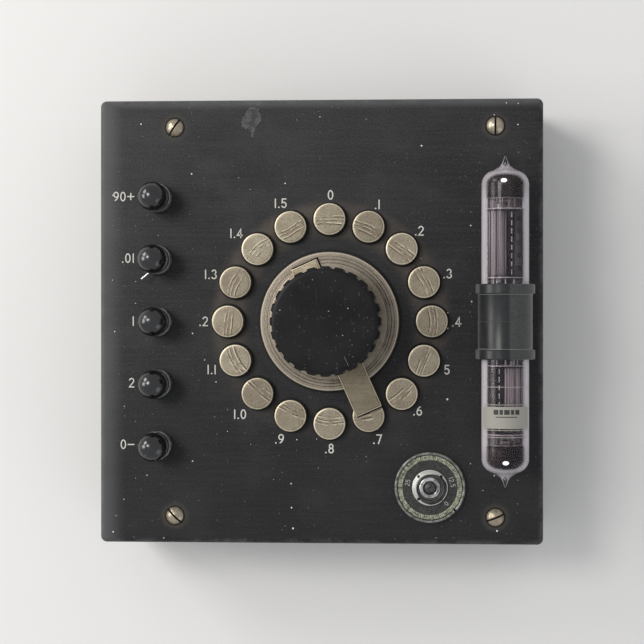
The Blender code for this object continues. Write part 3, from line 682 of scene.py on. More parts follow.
def crackle_paint():
    """Black wrinkle enamel, rubbed back on its edges."""
    s = Shade("crackle_paint", Specular_IOR_Level=0.5)
    cells = s.node("ShaderNodeTexVoronoi", {"Vector": s.place, "Scale": 850}, feature="SMOOTH_F1")
    wrinkle = s.noise(620, 3, 0.6, warp=1.6)
    height = s.add(s.mul(wrinkle, 0.7), s.mul(cells.outputs["Distance"], 0.5))
    cloud = s.noise(40, 4, 0.6)
    x, y, _ = s.apart(s.place)
    s.colour = s.mix(s.step(wrinkle, 0.35, 0.65), (0.01, 0.01, 0.011), (0.036, 0.036, 0.038))
    s.lay(s.step(cloud, 0.55, 0.8, 0.0, 0.35), (0.06, 0.058, 0.054))
    corner = s.step(s.add(s.abs(x), s.abs(y)), 0.1787, 0.1796)
    rubbed = s.mul(corner, s.step(s.noise(260, 4, 0.7), 0.5, 0.6))
    s.lay(rubbed, (0.26, 0.25, 0.24), 0.7)
    s.bump(height, 0.55, 0.0006)
    return s.done(s.line(wrinkle, 0.25, 0.34))


def rubber():
    s = Shade("foot_rubber", Specular_IOR_Level=0.35)
    cloud = s.noise(300, 4, 0.65)
    s.colour = s.mix(s.step(cloud, 0.35, 0.75), grey(0.014), (0.04, 0.038, 0.036))
    s.bump(s.add(cloud, s.mul(s.noise(2400), 0.4)), 0.3, 0.0003)
    return s.done(s.line(cloud, 0.2, 0.66))


def label_paint(name="label_paint", clean=(0.61, 0.595, 0.54), worn=(0.34, 0.33, 0.30)):
    """Wax or paint pressed into a cut, gone in places."""
    s = Shade(name, Specular_IOR_Level=0.3)
    wear = s.noise(520, 4, 0.65)
    s.colour = s.mix(s.step(wear, 0.58, 0.78, 0.0, 0.4), clean, worn)
    s.bump(wear, 0.2, 0.0002)
    return s.done(s.line(wear, 0.2, 0.5))


def cut_shade():
    """Painted shade, near black: the outline under engraved numbers, the walls and floors of the screw slots
    and the shadow lines by the arm.
    """
    s = Shade("cut_shade", Specular_IOR_Level=0.2)
    grain = s.noise(700, 3, 0.6)
    s.colour = s.mix(grain, grey(0.004), grey(0.012))
    return s.done(s.math("ADD", grain, 0.3, True))


def bulb_glass():
    """Thin mauve glass: clear in the middle, with a milky rim where the wall is seen edge on, a painted
    reflection along its edges.
    """
    s = Shade("bulb_glass", roughness=0.03, Transmission_Weight=1.0, IOR=1.15, Specular_Tint=(0, 0, 0, 1))
    s.bsdf.inputs["Coat Weight"].default_value = 0.25
    s.bsdf.inputs["Coat Roughness"].default_value = 0.16
    streak = s.noise(1, 3, 0.6, s.moved(scale=(260, 18, 260)))
    s.colour = s.mix(streak, (0.92, 0.89, 0.915), (0.97, 0.955, 0.97))
    s.done()
    milky_reflection = s.tree.nodes.new("ShaderNodeBsdfPrincipled")
    milky_reflection.inputs["Roughness"].default_value = 0.22
    s.tree.links.new(s.mix(streak, (0.44, 0.405, 0.43), (0.62, 0.59, 0.62)), milky_reflection.inputs["Base Color"])
    facing = s.node("ShaderNodeLayerWeight", {"Blend": 0.5}).outputs["Facing"]
    wavy = s.add(facing, s.wander(0.05, 90, 3))
    rim = s.math("MAXIMUM", s.step(wavy, 0.27, 0.49, 0.012, 0.84), s.mul(s.step(streak, 0.55, 0.8), 0.07))
    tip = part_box("valve_rear_glass")[1].y
    height = s.abs(s.apart(s.place)[1])
    rim = s.mul(rim, s.step(height, tip - 19 * MM, tip - 12 * MM, 1.0, 0.62))
    mixed = s.node("ShaderNodeMixShader", {0: rim, 1: s.bsdf.outputs[0], 2: milky_reflection.outputs[0]})
    lamp = s.node("ShaderNodeLightPath", {}).outputs["Is Shadow Ray"]
    through = s.node("ShaderNodeBsdfTransparent", {"Color": (0.86, 0.82, 0.86, 1)})
    out = s.node("ShaderNodeMixShader", {0: lamp, 1: mixed.outputs[0], 2: through.outputs[0]})
    s.tree.links.new(out.outputs[0], s.tree.nodes["Material Output"].inputs["Surface"])
    return s.mat


def painted_glint():
    """A glowing painted highlight: a pale oval on the getter mirror."""
    s = Shade("painted_glint", roughness=0.25, Emission_Strength=0.55)
    s.bsdf.inputs["Emission Color"].default_value = (1.0, 1.0, 1.0, 1)
    grain = s.noise(900, 3)
    s.colour = s.mix(grain, (0.95, 0.95, 0.94), (0.82, 0.81, 0.8))
    return s.done()


def sleeve_ebonite():
    """The sleeve's black: paler along its right side, with painted light along its left edge and painted
    highlights where each flange starts and round its middle.
    """
    s = Shade("sleeve_ebonite", Specular_IOR_Level=0.34)
    x, y, _ = s.apart(s.moved((VALVE_AXIS.x, 0, 0)))
    cloud = s.noise(90, 4, 0.6)
    grit = s.noise(1700, 3, 0.65)
    s.colour = s.mix(s.step(cloud, 0.3, 0.7), (0.014, 0.015, 0.016), (0.025, 0.026, 0.027))
    right_half_pale = s.mul(s.step(x, 0.8 * MM, 2.2 * MM), s.step(grit, 0.3, 0.66, 0.35, 1.0))
    s.lay(right_half_pale, (0.085, 0.088, 0.086), 0.75)
    # Painted light: a pale strip along the left edge, the side the light comes from.
    edge = s.step(x, -11.0 * MM, -9.8 * MM, 0.75, 0.0)
    s.lay(s.mul(edge, s.step(grit, 0.25, 0.5, 0.6, 1.0)), (0.13, 0.138, 0.125))
    across = s.abs(y)
    # Painted highlights: pale lines where each flange starts and round the middle groove.
    flange_highlights = s.any_of(
        s.band(across, 10.85 * MM, 0.00006, 0.00012),
        s.mul(s.band(across, 0, 0.00004, 0.0001), 0.35)
    )
    s.lay(s.mul(flange_highlights, s.step(cloud, 0.3, 0.6, 0.5, 1.0)), (0.21, 0.22, 0.21))
    s.lay(s.step(grit, 0.55, 0.72), (0.075, 0.078, 0.076), 0.35)
    s.bump(s.add(cloud, s.mul(grit, 0.4)), 0.12, 0.0003)
    return s.done(s.line(cloud, 0.14, 0.23))


def terminal_ebonite():
    """Polished black, with painted highlights on the rims of the collars and skirts, strongest on their
    right side.
    """
    s = Shade("terminal_ebonite", Specular_IOR_Level=0.8)
    x, y, z = s.apart(s.place)
    pitch = middle("terminal_post_1").y - middle("terminal_post_2").y
    row = s.mul(s.math("ROUND", s.math("DIVIDE", y, pitch)), pitch)
    radius = s.length(s.sub(x, middle("terminal_post_1").x), s.sub(y, row))
    cloud = s.noise(130, 4, 0.6)
    s.colour = s.mix(s.step(cloud, 0.35, 0.7), (0.004, 0.004, 0.0045), (0.011, 0.011, 0.012))
    # Painted highlights: pale rings on the collar and skirt rims, stronger toward the right.
    low = s.step(z, TOP + 7.6 * MM, TOP + 8.6 * MM, 1.0, 0.0)
    rim_highlights = s.any_of(s.band(radius, 5.9 * MM, 0.00012, 0.00014), s.band(radius, 4.8 * MM, 0.0001, 0.0001))
    right = s.step(s.sub(x, middle("terminal_post_1").x), -1.5 * MM, 4.5 * MM, 0.2, 1.0)
    worn = s.mul(rim_highlights, low, s.step(s.noise(420, 3), 0.35, 0.55, 0.35, 1.0))
    worn = s.mul(worn, right)
    s.lay(worn, (0.2, 0.2, 0.195))
    specks = s.spots(520, 0.16, 0.10)
    s.lay(specks, (0.24, 0.24, 0.23))
    s.bump(s.add(s.noise(260, 3), s.mul(s.noise(900), 0.25)), 0.22, 0.0006)
    return s.done(s.add(s.mul(cloud, 0.12), s.line(worn, 0.3, 0.12)))


def hub_enamel():
    """Black enamel on the trimmer's hub, with a painted highlight as a silver crescent at its upper left,
    and four drilled marks.
    """
    s = Shade("hub_enamel", metallic=0.3)
    radius = s.distance(TRIMMER)
    # Painted highlight: a silver crescent at the hub's upper left, outside a circle set off toward the lower
    # right.
    inner = s.distance(TRIMMER + Vector((0.9, -0.7, 0)) * MM)
    cloud = s.noise(420, 4, 0.6)
    wander = s.mul(s.sub(cloud, 0.5), 0.0006)
    worn = s.step(s.add(inner, wander), 6.15 * MM, 6.45 * MM)
    s.colour = s.mix(s.step(cloud, 0.35, 0.7), (0.014, 0.014, 0.013), (0.045, 0.046, 0.042))
    s.lay(worn, (0.5, 0.5, 0.46))
    fine_rings = s.any_of(
        s.band(radius, 5.5 * MM, 0.00008, 0.0001), s.band(radius, 4.75 * MM, 0.00006, 0.0001)
    )
    s.lay(fine_rings, (0.22, 0.22, 0.21), 0.5)
    line = s.band(radius, 7.15 * MM, 0.00012, 0.00010)
    s.lay(s.mul(line, s.step(cloud, 0.3, 0.5, 0.5, 1.0)), (0.55, 0.55, 0.52))
    marks = s.step(s.folded(TRIMMER, 6.5 * MM, 4, radians(45)), 0.58 * MM, 0.68 * MM, 1.0, 0.0)
    s.lay(marks, grey(0.006))
    s.bump(cloud, 0.2, 0.0002)
    return s.done(s.line(cloud, 0.25, 0.25))


def stained(name, pale, deep, scale, rough, metallic=0.0, stretch=(1, 1, 1), shine=0.5):
    """Any small part: two tones broken up by noise along a direction."""
    s = Shade(name, metallic=metallic, Specular_IOR_Level=shine)
    grain = s.noise(scale, 4, 0.6, s.moved(scale=stretch))
    if shine:
        s.bump(grain, 0.15, 0.0003)
    s.colour = s.mix(s.step(grain, 0.35, 0.7), pale, deep)
    return s.done(s.line(grain, 0.24, rough - 0.12))


# Pieces


def make_panel(mat):
    """The panel with its rounded upper edge, drilled for the screws, studs, posts and spindles."""
    low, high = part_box("panel")
    side = high.x - low.x
    bm = bmesh.new()
    outline = rectangle(side, side, 2.5 * MM, 6)
    round_over = 2.2 * MM
    levels = [(0.25 * MM, low.z), (0.0, low.z + 0.25 * MM)]
    for i in range(9):
        a = pi / 2 * i / 8
        levels.append((round_over * (1 - cos(a)), high.z - round_over * (1 - sin(a))))
    plate(bm, outline, levels)
    panel = piece("panel_moulding", bm, mat, replaces=["panel"])
    drill = bmesh.new()
    holes = [(HUB, 5.3), (TRIMMER, 2.8)] + [(screw, 1.9) for screw in SCREWS]
    holes += [(middle(f"contact_stud_{i:02d}"), 2.3) for i in range(STUDS)]
    holes += [(middle(f"terminal_post_{i}"), 2.3) for i in range(1, 6)]
    for centre, radius in holes:
        lathe(drill, rod(radius * MM, low.z - MM, high.z + MM), 24, at(centre.x, centre.y))
    bmesh.ops.recalc_face_normals(drill, faces=drill.faces)
    mesh = bpy.data.meshes.new("drill")
    drill.to_mesh(mesh)
    drill.free()
    cutter = bpy.data.objects.new("drill", mesh)
    bpy.context.scene.collection.objects.link(cutter)
    cut = panel.modifiers.new("drill", "BOOLEAN")
    cut.object, cut.solver, cut.operation = cutter, "EXACT", "DIFFERENCE"
    bpy.context.view_layer.update()
    drilled = bpy.data.meshes.new_from_object(panel.evaluated_get(bpy.context.evaluated_depsgraph_get()))
    panel.modifiers.clear()
    panel.data = drilled
    drilled.set_sharp_from_angle(angle=radians(32))
    bpy.data.objects.remove(cutter)


def make_case(mat):
    """Four walls with eased edges, and a rib under each panel screw."""
    low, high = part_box("case")
    ease, near = 0.5 * MM, 0.075 * MM
    outline = rectangle(high.x - low.x, high.y - low.y, 2.5 * MM, 6)
    levels = [
        (CASE_WALL, high.z), (ease, high.z), (near, high.z - near), (0.0, high.z - ease),
        (0.0, low.z + ease)
    ]
    levels += [(near, low.z + near), (ease, low.z), (CASE_WALL, low.z), (CASE_WALL, high.z)]
    bm = bmesh.new()
    plate(bm, outline, levels, caps=(False, False))
    bmesh.ops.remove_doubles(bm, verts=bm.verts, dist=1e-6)
    piece("case_casting", bm, mat, replaces=["case"])
    bm = bmesh.new()
    outer, inner = high.y - 3.3 * MM, 75 * MM
    for screw in SCREWS:
        side = 1 if screw.y > 0 else -1
        size = (10 * MM, outer - inner, high.z - low.z - 0.2 * MM)
        bar(bm, size, 0.4 * MM, at(screw.x, side * (outer + inner) / 2, (low.z + high.z) / 2))
    piece("case_screw_ribs", bm, mat)


def make_base(mat):
    """The steel plate that closes the case from below."""
    low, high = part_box("base_cover")
    bm = bmesh.new()
    plate(bm, rectangle(high.x - low.x, high.y - low.y, 2.5 * MM, 6), edges(low.z, high.z, 0.3 * MM))
    piece("base_plate", bm, mat, replaces=["base_cover"])


def make_feet(mat):
    """Turned rubber feet, each held by a button that snaps through the base cover."""
    low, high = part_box("foot_front_left")
    radius = (high.x - low.x) / 2
    base_low, base_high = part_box("base_cover")
    profile = [(0, 0.4 * MM), (radius - 2.6 * MM, 0.4 * MM), (radius - 3.0 * MM, 0), (radius - 1.3 * MM, 0)]
    profile += [
        (radius - 0.3 * MM, 0.7 * MM), (radius, base_low.z - 0.3 * MM),
        (2.2 * MM, base_low.z - 0.3 * MM)
    ]
    profile += [
        (2.2 * MM, base_high.z + 0.3 * MM), (3.3 * MM, base_high.z + 0.3 * MM), (1.6 * MM, high.z),
        (0, high.z)
    ]
    for where in CORNERS:
        centre = middle(f"foot_{where}")
        bm = bmesh.new()
        lathe(bm, soften(profile, 0.35 * MM, 2), 40, at(centre.x, centre.y))
        piece(f"rubber_foot_{where}", bm, mat, replaces=[f"foot_{where}"])


def make_base_screws(metal):
    """Eight screws round the base cover, heads down, each slot left at its own angle."""
    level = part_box("base_cover")[0].z
    bm = bmesh.new()
    for sx in (-1, 0, 1):
        for sy in (-1, 0, 1):
            if sx or sy:
                place = at(sx * 82 * MM, sy * 82 * MM, level) @ turned(180, "X")
                slotted_head(
                    bm, 2.6 * MM, 1.1 * MM, 0.55 * MM,
                    place @ Matrix.Rotation(sx + 2.2 * sy, 4, "Z")
                )
    piece("base_cover_screws", bm, metal)


def slotted_head(bm, radius, height, slot_width, place, slot=0, cut=None):
    """A round head with a straight slot, as two half domes that stop at the slot's walls and its floor."""
    floor_z = height - height * 0.55
    half = slot_width / 2
    cut = slot if cut is None else cut
    rows, segments = 7, 16
    dome = (radius * radius + height * height) / (2 * height)

    def level(x, y):
        return sqrt(max(dome * dome - x * x - y * y, 0)) - (dome - height)

    for side in (-1, 1):
        fan = []
        for k in range(rows + 1):
            r = radius * (1 - (k / rows) ** 1.3 * 0.97)
            lift = asin(min(1, half / r)) if r > half else pi / 2
            row = []
            for i in range(segments + 1):
                a = lift + (pi - 2 * lift) * i / segments
                x, y = r * cos(a), max(r * sin(a), half)
                row.append((x, side * y, max(level(x, y), 0)))
            fan.append(row)
        verts = [[bm.verts.new(place @ Vector(p)) for p in row] for row in fan]
        made = []
        for a, b in zip(verts, verts[1:]):
            for i in range(segments):
                made.append(bm.faces.new((a[i], a[i + 1], b[i + 1], b[i])))
        wall_top = [row[0] for row in verts] + [row[-1] for row in reversed(verts)]
        floor = []
        for v in wall_top:
            local = place.inverted() @ v.co
            floor.append(bm.verts.new(place @ Vector((local.x, local.y, floor_z))))
        walls = []
        for i in range(len(wall_top) - 1):
            walls.append(bm.faces.new((wall_top[i], wall_top[i + 1], floor[i + 1], floor[i])))
        skirt = [bm.verts.new(place @ Vector((p[0], p[1], -0.15 * MM))) for p in fan[0]]
        for i in range(segments):
            made.append(bm.faces.new((verts[0][i], verts[0][i + 1], skirt[i + 1], skirt[i])))
        for face in made:
            face.material_index = slot
        for face in walls:
            face.material_index = cut
    across = sqrt(radius * radius - half * half)
    corners = [(-across, -half), (across, -half), (across, half), (-across, half)]
    face = bm.faces.new([bm.verts.new(place @ Vector((x, y, floor_z))) for x, y in corners])
    face.material_index = cut


def make_screws(metal, painted_shade):
    """The panel's four screws, each slot at the angle it was left at."""
    for where, angle in zip(CORNERS, (135, 22, 55, 90)):
        node = f"panel_screw_{where}"
        low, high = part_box(node)
        centre = middle(node)
        bm = bmesh.new()
        place = at(centre.x, centre.y, TOP + 0.3 * MM) @ turned(angle)
        # The slot's walls and floor are painted shade, near black.
        slotted_head(bm, 3.55 * MM, high.z - TOP - 0.32 * MM, 0.80 * MM, place, cut=1)
        shank = [
            (0, low.z), (1.2 * MM, low.z), (1.6 * MM, low.z + 0.6 * MM), (1.6 * MM, TOP + 0.3 * MM),
            (0, TOP + 0.3 * MM)
        ]
        lathe(bm, shank, 20, at(centre.x, centre.y))
        piece(f"screw_{where}", bm, [metal, painted_shade], replaces=[node], angle=28)


def make_studs(metals):
    """Sixteen studs with eased rims, in three tones that take turns."""
    for i in range(STUDS):
        node = f"contact_stud_{i:02d}"
        low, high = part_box(node)
        centre = middle(node)
        radius = (high.x - low.x) / 2
        bm = bmesh.new()
        top = high.z
        profile = [(0, top - 0.03 * MM), (radius * 0.8, top)]
        profile += [
            (radius - 0.32 * MM, top), (radius - 0.10 * MM, top - 0.09 * MM),
            (radius, top - 0.34 * MM)
        ]
        profile += [
            (radius, TOP + 0.55 * MM), (radius - 0.25 * MM, TOP + 0.3 * MM),
            (2 * MM, TOP + 0.3 * MM)
        ]
        profile += [(2 * MM, low.z + 0.5 * MM), (1.5 * MM, low.z), (0, low.z)]
        lathe(bm, profile, 56, at(centre.x, centre.y))
        piece(
            f"stud_{i:02d}", bm, metals[i * 7 % len(metals)], replaces=[node],
            angle=40
        )


def make_collector(mat):
    """The turned disc under the knob, with fine grooves near its rim."""
    low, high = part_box("collector_disc")
    rim, top = DISC_RADIUS / MM, TOP / MM
    profile = [(rim, low.z / MM), (rim, top + 3.55), (rim - 0.3, top + 3.9), (rim - 0.95, top + 3.93)]
    profile += [
        (26.7, top + 3.90), (26.6, top + 3.80), (26.45, top + 3.90), (25.5, top + 3.86),
        (25.3, top + 3.72)
    ]
    profile += [(25.1, top + 3.86), (24.35, top + 3.80), (24.12, top + 3.84), (23.9, top + 4.15)]
    profile += [(23.6, high.z / MM - 0.02), (22.9, high.z / MM), (8.3, high.z / MM), (8.3, top + 2.4)]
    profile += [(5.3, top + 2.4), (5.3, low.z / MM)]
    bm = bmesh.new()
    lathe(bm, mm(profile), 128, at(HUB.x, HUB.y), ring=True)
    piece("collector_ring", bm, mat, replaces=["collector_disc"], angle=24)


def make_arm(mat, painted_shade):
    """The flat wiper arm, with painted shadow lines beside its tail and beyond its tip."""
    low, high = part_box("selector_arm")
    place = at(HUB.x, HUB.y) @ turned(ARM_DEGREES)
    corners = [(-ARM_TAIL, -ARM_HALF), (ARM_REACH, -ARM_HALF), (ARM_REACH, ARM_HALF), (-ARM_TAIL, ARM_HALF)]
    bm = bmesh.new()
    plate(bm, soften(corners, 0.5 * MM, 3, True), edges(low.z, high.z, 0.30 * MM, 3), place)
    piece("wiper_arm", bm, mat, "selector", ["selector_arm"], angle=50)
    bm = bmesh.new()
    beside = 0.28 * MM
    tail = [
        (-ARM_TAIL - beside, 0.8 * MM - ARM_HALF), (-ARM_TAIL - beside, ARM_HALF + beside),
        (-21.0 * MM, ARM_HALF + beside)
    ]
    tip = [(ARM_REACH + beside, 0.4 * MM - ARM_HALF), (ARM_REACH + beside, ARM_HALF - 0.4 * MM)]
    # Painted shadow: dark lines on the disc and stud where the arm's edges cast shade.
    for line in (tail, tip):
        ribbon(bm, line, 0.55 * MM, low.z - 0.1 * MM, 0, place)
    piece("arm_shadow_lines", bm, painted_shade, "selector")


def make_knob(mat, mark):
    """The fluted knob, hollow for its spindle, with a scratched index mark on its top."""
    low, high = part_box("selector_knob")
    flutes = 24
    profile = [
        (3.475, low.z + 14.0 * MM), (3.475, low.z), (17.9, low.z), (18.8, low.z + 0.7 * MM),
        (18.8, low.z + 6.0 * MM)
    ]
    profile = [(r * MM, z) for r, z in profile]
    body_low, body_high = TOP + 14.2 * MM, high.z - 1.15 * MM
    band = [
        (18.9, TOP + 12.9 * MM), (20.9, body_low - 0.3 * MM), (21.6, body_low),
        (21.85, body_low + 0.5 * MM)
    ]
    steps = 6
    for k in range(1, steps):
        band.append((21.85, body_low + 0.5 * MM + (body_high - body_low - 1.0 * MM) * k / steps))
    band += [(21.8, body_high - 0.45 * MM), (21.45, body_high + 0.05 * MM), (21.0, body_high + 0.55 * MM)]
    band += [(20.7, body_high + 0.9 * MM), (20.3, high.z - 0.04 * MM), (19.6, high.z)]
    first = len(profile)
    profile += [(r * MM, z) for r, z in band]
    last = len(profile) - 4
    profile += [(17.0 * MM, high.z - 0.02 * MM), (9.0 * MM, high.z - 0.05 * MM), (0, high.z - 0.06 * MM)]

    def flute(angle, row):
        if not first < row < last:
            return 0.0
        wave = cos(flutes * angle)
        shape = max(0.0, -wave) ** 0.7
        fade = min(1.0, (row - first) / 2.0, (last - row) / 1.5)
        return -1.15 * MM * shape * fade

    bm = bmesh.new()
    lathe(bm, [(0, low.z + 14.0 * MM)] + profile, 288, at(HUB.x, HUB.y), lambda a, k: flute(a, k - 1))
    piece("fluted_knob", bm, mat, "selector", ["selector_knob"], angle=34)

    bm = bmesh.new()
    line = [(15.8, 0.15), (17.6, 0.0), (19.9, -0.2)]
    place = at(HUB.x, HUB.y) @ turned(ARM_DEGREES + 5)
    ribbon(bm, mm(line), 0.22 * MM, high.z, 0, place)
    piece("knob_index_scratch", bm, mark, "selector")


def make_terminal(number, black, metal):
    """A screwed post, a milled clamping collar round it and a ball head on top."""
    post, collar, head = (f"terminal_{kind}_{number}" for kind in ("post", "collar", "head"))
    centre = middle(post)
    place = at(centre.x, centre.y)
    low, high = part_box(post)
    bm = bmesh.new()
    z = TOP
    profile = [(0, high.z), (1.5 * MM, high.z), (2 * MM, high.z - 0.5 * MM), (2 * MM, z + 1.5 * MM)]
    profile += [
        (5.6 * MM, z + 1.5 * MM), (6 * MM, z + 1.2 * MM), (6 * MM, z + 0.3 * MM),
        (2 * MM, z + 0.3 * MM)
    ]
    profile += [(2 * MM, low.z + 0.5 * MM), (1.5 * MM, low.z), (0, low.z)]
    lathe(bm, profile, 40, place)
    piece(f"binding_post_{number}", bm, metal, replaces=[post])

    low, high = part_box(collar)
    radius = 6.2 * MM
    profile = [
        (2.3 * MM, low.z), (radius - 0.35 * MM, low.z), (radius, low.z + 0.3 * MM),
        (radius, low.z + 1.0 * MM)
    ]
    profile += [
        (radius, high.z - 0.75 * MM), (radius - 0.12 * MM, high.z - 0.4 * MM),
        (radius - 0.5 * MM, high.z - 0.05 * MM)
    ]
    profile += [(radius - 1.0 * MM, high.z), (2.3 * MM, high.z)]

    def milled(angle, row):
        return -0.16 * MM * (0.5 - 0.5 * cos(40 * angle)) if 2 <= row <= 4 else 0.0

    bm = bmesh.new()
    lathe(bm, profile, 160, place, milled, ring=True)
    piece(f"clamp_collar_{number}", bm, black, f"clamp_{number}", [collar], angle=45)

    low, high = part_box(head)
    ball = (high.x - low.x) / 2
    profile = [(0, low.z + 10.7 * MM), (2.3 * MM, low.z + 10.7 * MM), (2.3 * MM, low.z), (4.5 * MM, low.z)]
    profile += [
        (4.85 * MM, low.z + 0.35 * MM), (4.85 * MM, low.z + 2.7 * MM), (4.45 * MM, low.z + 3.3 * MM)
    ]
    profile += curve(0, high.z - ball, ball, ball, -40, 90, 16)
    profile[-1] = (0, high.z)

    def grip(angle, row):
        return -0.14 * MM * (0.5 - 0.5 * cos(32 * angle)) if 4 <= row <= 5 else 0.0

    bm = bmesh.new()
    lathe(bm, profile, 128, place, grip)
    piece(f"ball_head_{number}", bm, black, f"head_{number}", [head], angle=38)


def make_cut_wire(mat):
    """The bare end left in the second terminal: once round the post, then out to the front left."""
    low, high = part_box("wire_stub")
    centre = middle("terminal_post_2")
    level = (low.z + high.z) / 2
    path = curve(0, 0, 4.4, 4.4, 80, -100, 24)
    path += [(-1.6, -4.75), (-2.4, -5.2), (-3.6, -6.2), (-4.8, -7.2), (-5.8, -8.0)]
    bm = bmesh.new()
    tube(bm, [(centre.x + x * MM, centre.y + y * MM, level) for x, y in path], 0.38 * MM, 12)
    piece("cut_wire_end", bm, mat, "clamp_2", ["wire_stub"], angle=50)


def valve_place(side):
    """The frame of a valve: Z from the sleeve out along its axis, X to the right of the box when rear."""
    return at(VALVE_AXIS.x, 0, VALVE_AXIS.z) @ turned(0 if side > 0 else 180) @ turned(-90, "X")


def make_sleeve(black):
    """The tube that both valves plug into, with a flange at each end and a groove round its middle."""
    low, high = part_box("valve_sleeve")
    half = (high.y - low.y) / 2 / MM
    profile = []
    for side in (1, -1):
        part = [(9.8, 5.0), (9.8, half - 0.25), (10.05, half), (11.6, half), (11.9, half - 0.3)]
        part += [(11.9, half - 3.6), (11.65, half - 3.85), (11.02, half - 3.9), (10.95, half - 4.15)]
        part += [(10.95, 0.28), (10.82, 0.14)]
        part = [(r * MM, side * z * MM) for r, z in part]
        profile += part if side > 0 else list(reversed(part))
    bm = bmesh.new()
    place = valve_place(1)
    lathe(bm, [(0, 5.0 * MM)] + profile + [(0, -5.0 * MM)], 96, place)
    piece("sleeve_moulding", bm, black, replaces=["valve_sleeve"], angle=30)


def make_saddle(black):
    """A block with a hollowed top that the sleeve lies in."""
    low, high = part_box("valve_saddle")
    bm = bmesh.new()
    width = high.x - low.x
    top = VALVE_AXIS.z - 6 * MM
    rows = []
    steps = 14
    for i in range(steps + 1):
        x = -width / 2 + width * i / steps
        cradle = VALVE_AXIS.z - sqrt((11.25 * MM) ** 2 - x * x)
        rows.append((VALVE_AXIS.x + x, min(top, cradle)))
    outline = [(rows[0][0], low.z)] + rows + [(rows[-1][0], low.z)]
    ends = []
    for y in (low.y, high.y):
        ends.append([bm.verts.new((x, y, z)) for x, z in outline])
    for i in range(len(outline)):
        j = (i + 1) % len(outline)
        bm.faces.new((ends[0][i], ends[0][j], ends[1][j], ends[1][i]))
    bm.faces.new(ends[0])
    bm.faces.new(ends[1])
    bmesh.ops.bevel(
        bm, geom=[e for e in bm.edges if e.calc_face_angle(0) > 1.2], offset=0.4 * MM, segments=2,
        affect="EDGES"
    )
    piece("sleeve_saddle", bm, black, replaces=["valve_saddle"])


def make_valve(name, side, mats):
    """One valve. side is 1 for the rear one and -1 for the front one."""
    body = f"valve_{name}"
    place = valve_place(side)
    low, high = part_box(f"{body}_glass")
    tip = high.y if side > 0 else -low.y
    start = low.y if side > 0 else -high.y
    make_bulb(body, place, start, tip, mats)
    make_getter_mirror(body, place, start, mats)
    make_valve_base(body, place, start, mats)
    make_electrodes(body, place, start, mats)
    make_getter_cage(body, place, start, mats)
    make_painted_glint(body, place, start, side, mats)


def make_bulb(body, place, start, tip, mats):
    """A thin glass tube with a domed end, drawn out to the tip where it was sealed."""
    radius, wall, shoulder, corner = BULB_RADIUS, BULB_WALL, start + BULB_SHOULDER, BULB_CORNER
    outer = [(0, tip), (0.35 * MM, tip - 0.35 * MM), (0.8 * MM, tip - 1.7 * MM), (1.3 * MM, tip - 3.0 * MM)]
    outer += [(2.0 * MM, tip - 4.0 * MM), (3.0 * MM, tip - 4.75 * MM), (4.0 * MM, tip - 5.4 * MM)]
    outer += curve(radius - corner, shoulder, corner, 1.02 * corner, 78, 0, 12)
    for k in range(1, 13):
        outer.append((radius, shoulder + (start + 0.2 * MM - shoulder) * k / 12))
    outer.append((radius - 0.3 * MM, start))
    inner = [(radius - wall, start)]
    for k in range(11, 0, -1):
        inner.append((radius - wall, shoulder + (start - shoulder) * k / 12))
    inner += curve(radius - corner, shoulder, corner - wall, 0.98 * (corner - wall), 0, 90, 12)
    inner += [(2.0 * MM, tip - 6.1 * MM), (0.7 * MM, tip - 4.2 * MM), (0, tip - 2.6 * MM)]
    bm = bmesh.new()
    lathe(bm, outer + inner, 72, place)
    piece(f"{body}_bulb", bm, mats["glass"], body, [f"{body}_glass"], angle=60)


def make_getter_mirror(body, place, start, mats):
    """The dark film inside the dome, with an edge of its own thickness."""
    shoulder = start + BULB_SHOULDER
    ball = BULB_CORNER - BULB_WALL - 0.15 * MM
    film = curve(BULB_RADIUS - BULB_CORNER, shoulder, ball, 0.98 * ball, 90, 0)
    bm = bmesh.new()
    film[0] = (1.6 * MM, film[0][1])
    edge = film[-1][0]
    film += [
        (edge, shoulder - 2.2 * MM), (edge, shoulder - 4.6 * MM),
        (edge - 0.12 * MM, shoulder - 4.6 * MM)
    ]
    for k in range(10, -1, -1):
        r, z = film[k]
        film.append((max(r - 0.12 * MM, 1.5 * MM), z - 0.12 * MM))
    lathe(bm, film, 56, place, ring=True)
    piece(f"{body}_getter_mirror", bm, mats["getter"], body)


def make_valve_base(body, place, start, mats):
    """The pressed glass base with seven pins, and the leads that rise from them."""
    inside = BULB_RADIUS - BULB_WALL - 0.3 * MM
    base = start + 0.6 * MM
    bm = bmesh.new()
    button = [
        (0, base), (inside, base), (inside, base + 1.4 * MM), (inside - 0.8 * MM, base + 2.0 * MM),
        (0, base + 2.0 * MM)
    ]
    lathe(bm, button, 40, place, slot=0)
    for i in range(7):
        a = radians(45 * (i + 1))
        px, py = 4.765 * MM * cos(a), 4.765 * MM * sin(a)
        pin = [
            (0, start - 4.5 * MM), (0.3 * MM, start - 4.4 * MM), (0.5 * MM, start - 4.0 * MM),
            (0.5 * MM, base + MM), (0, base + MM)
        ]
        lathe(bm, pin, 12, place @ at(px, py), slot=1)
        lathe(bm, rod(0.28 * MM, base + 1.9 * MM, start + 12 * MM), 8, place @ at(px, py), slot=1)
    piece(
        f"{body}_base_pins", bm, [mats["button"], mats["pin"]], body, [f"{body}_electrodes"],
    )


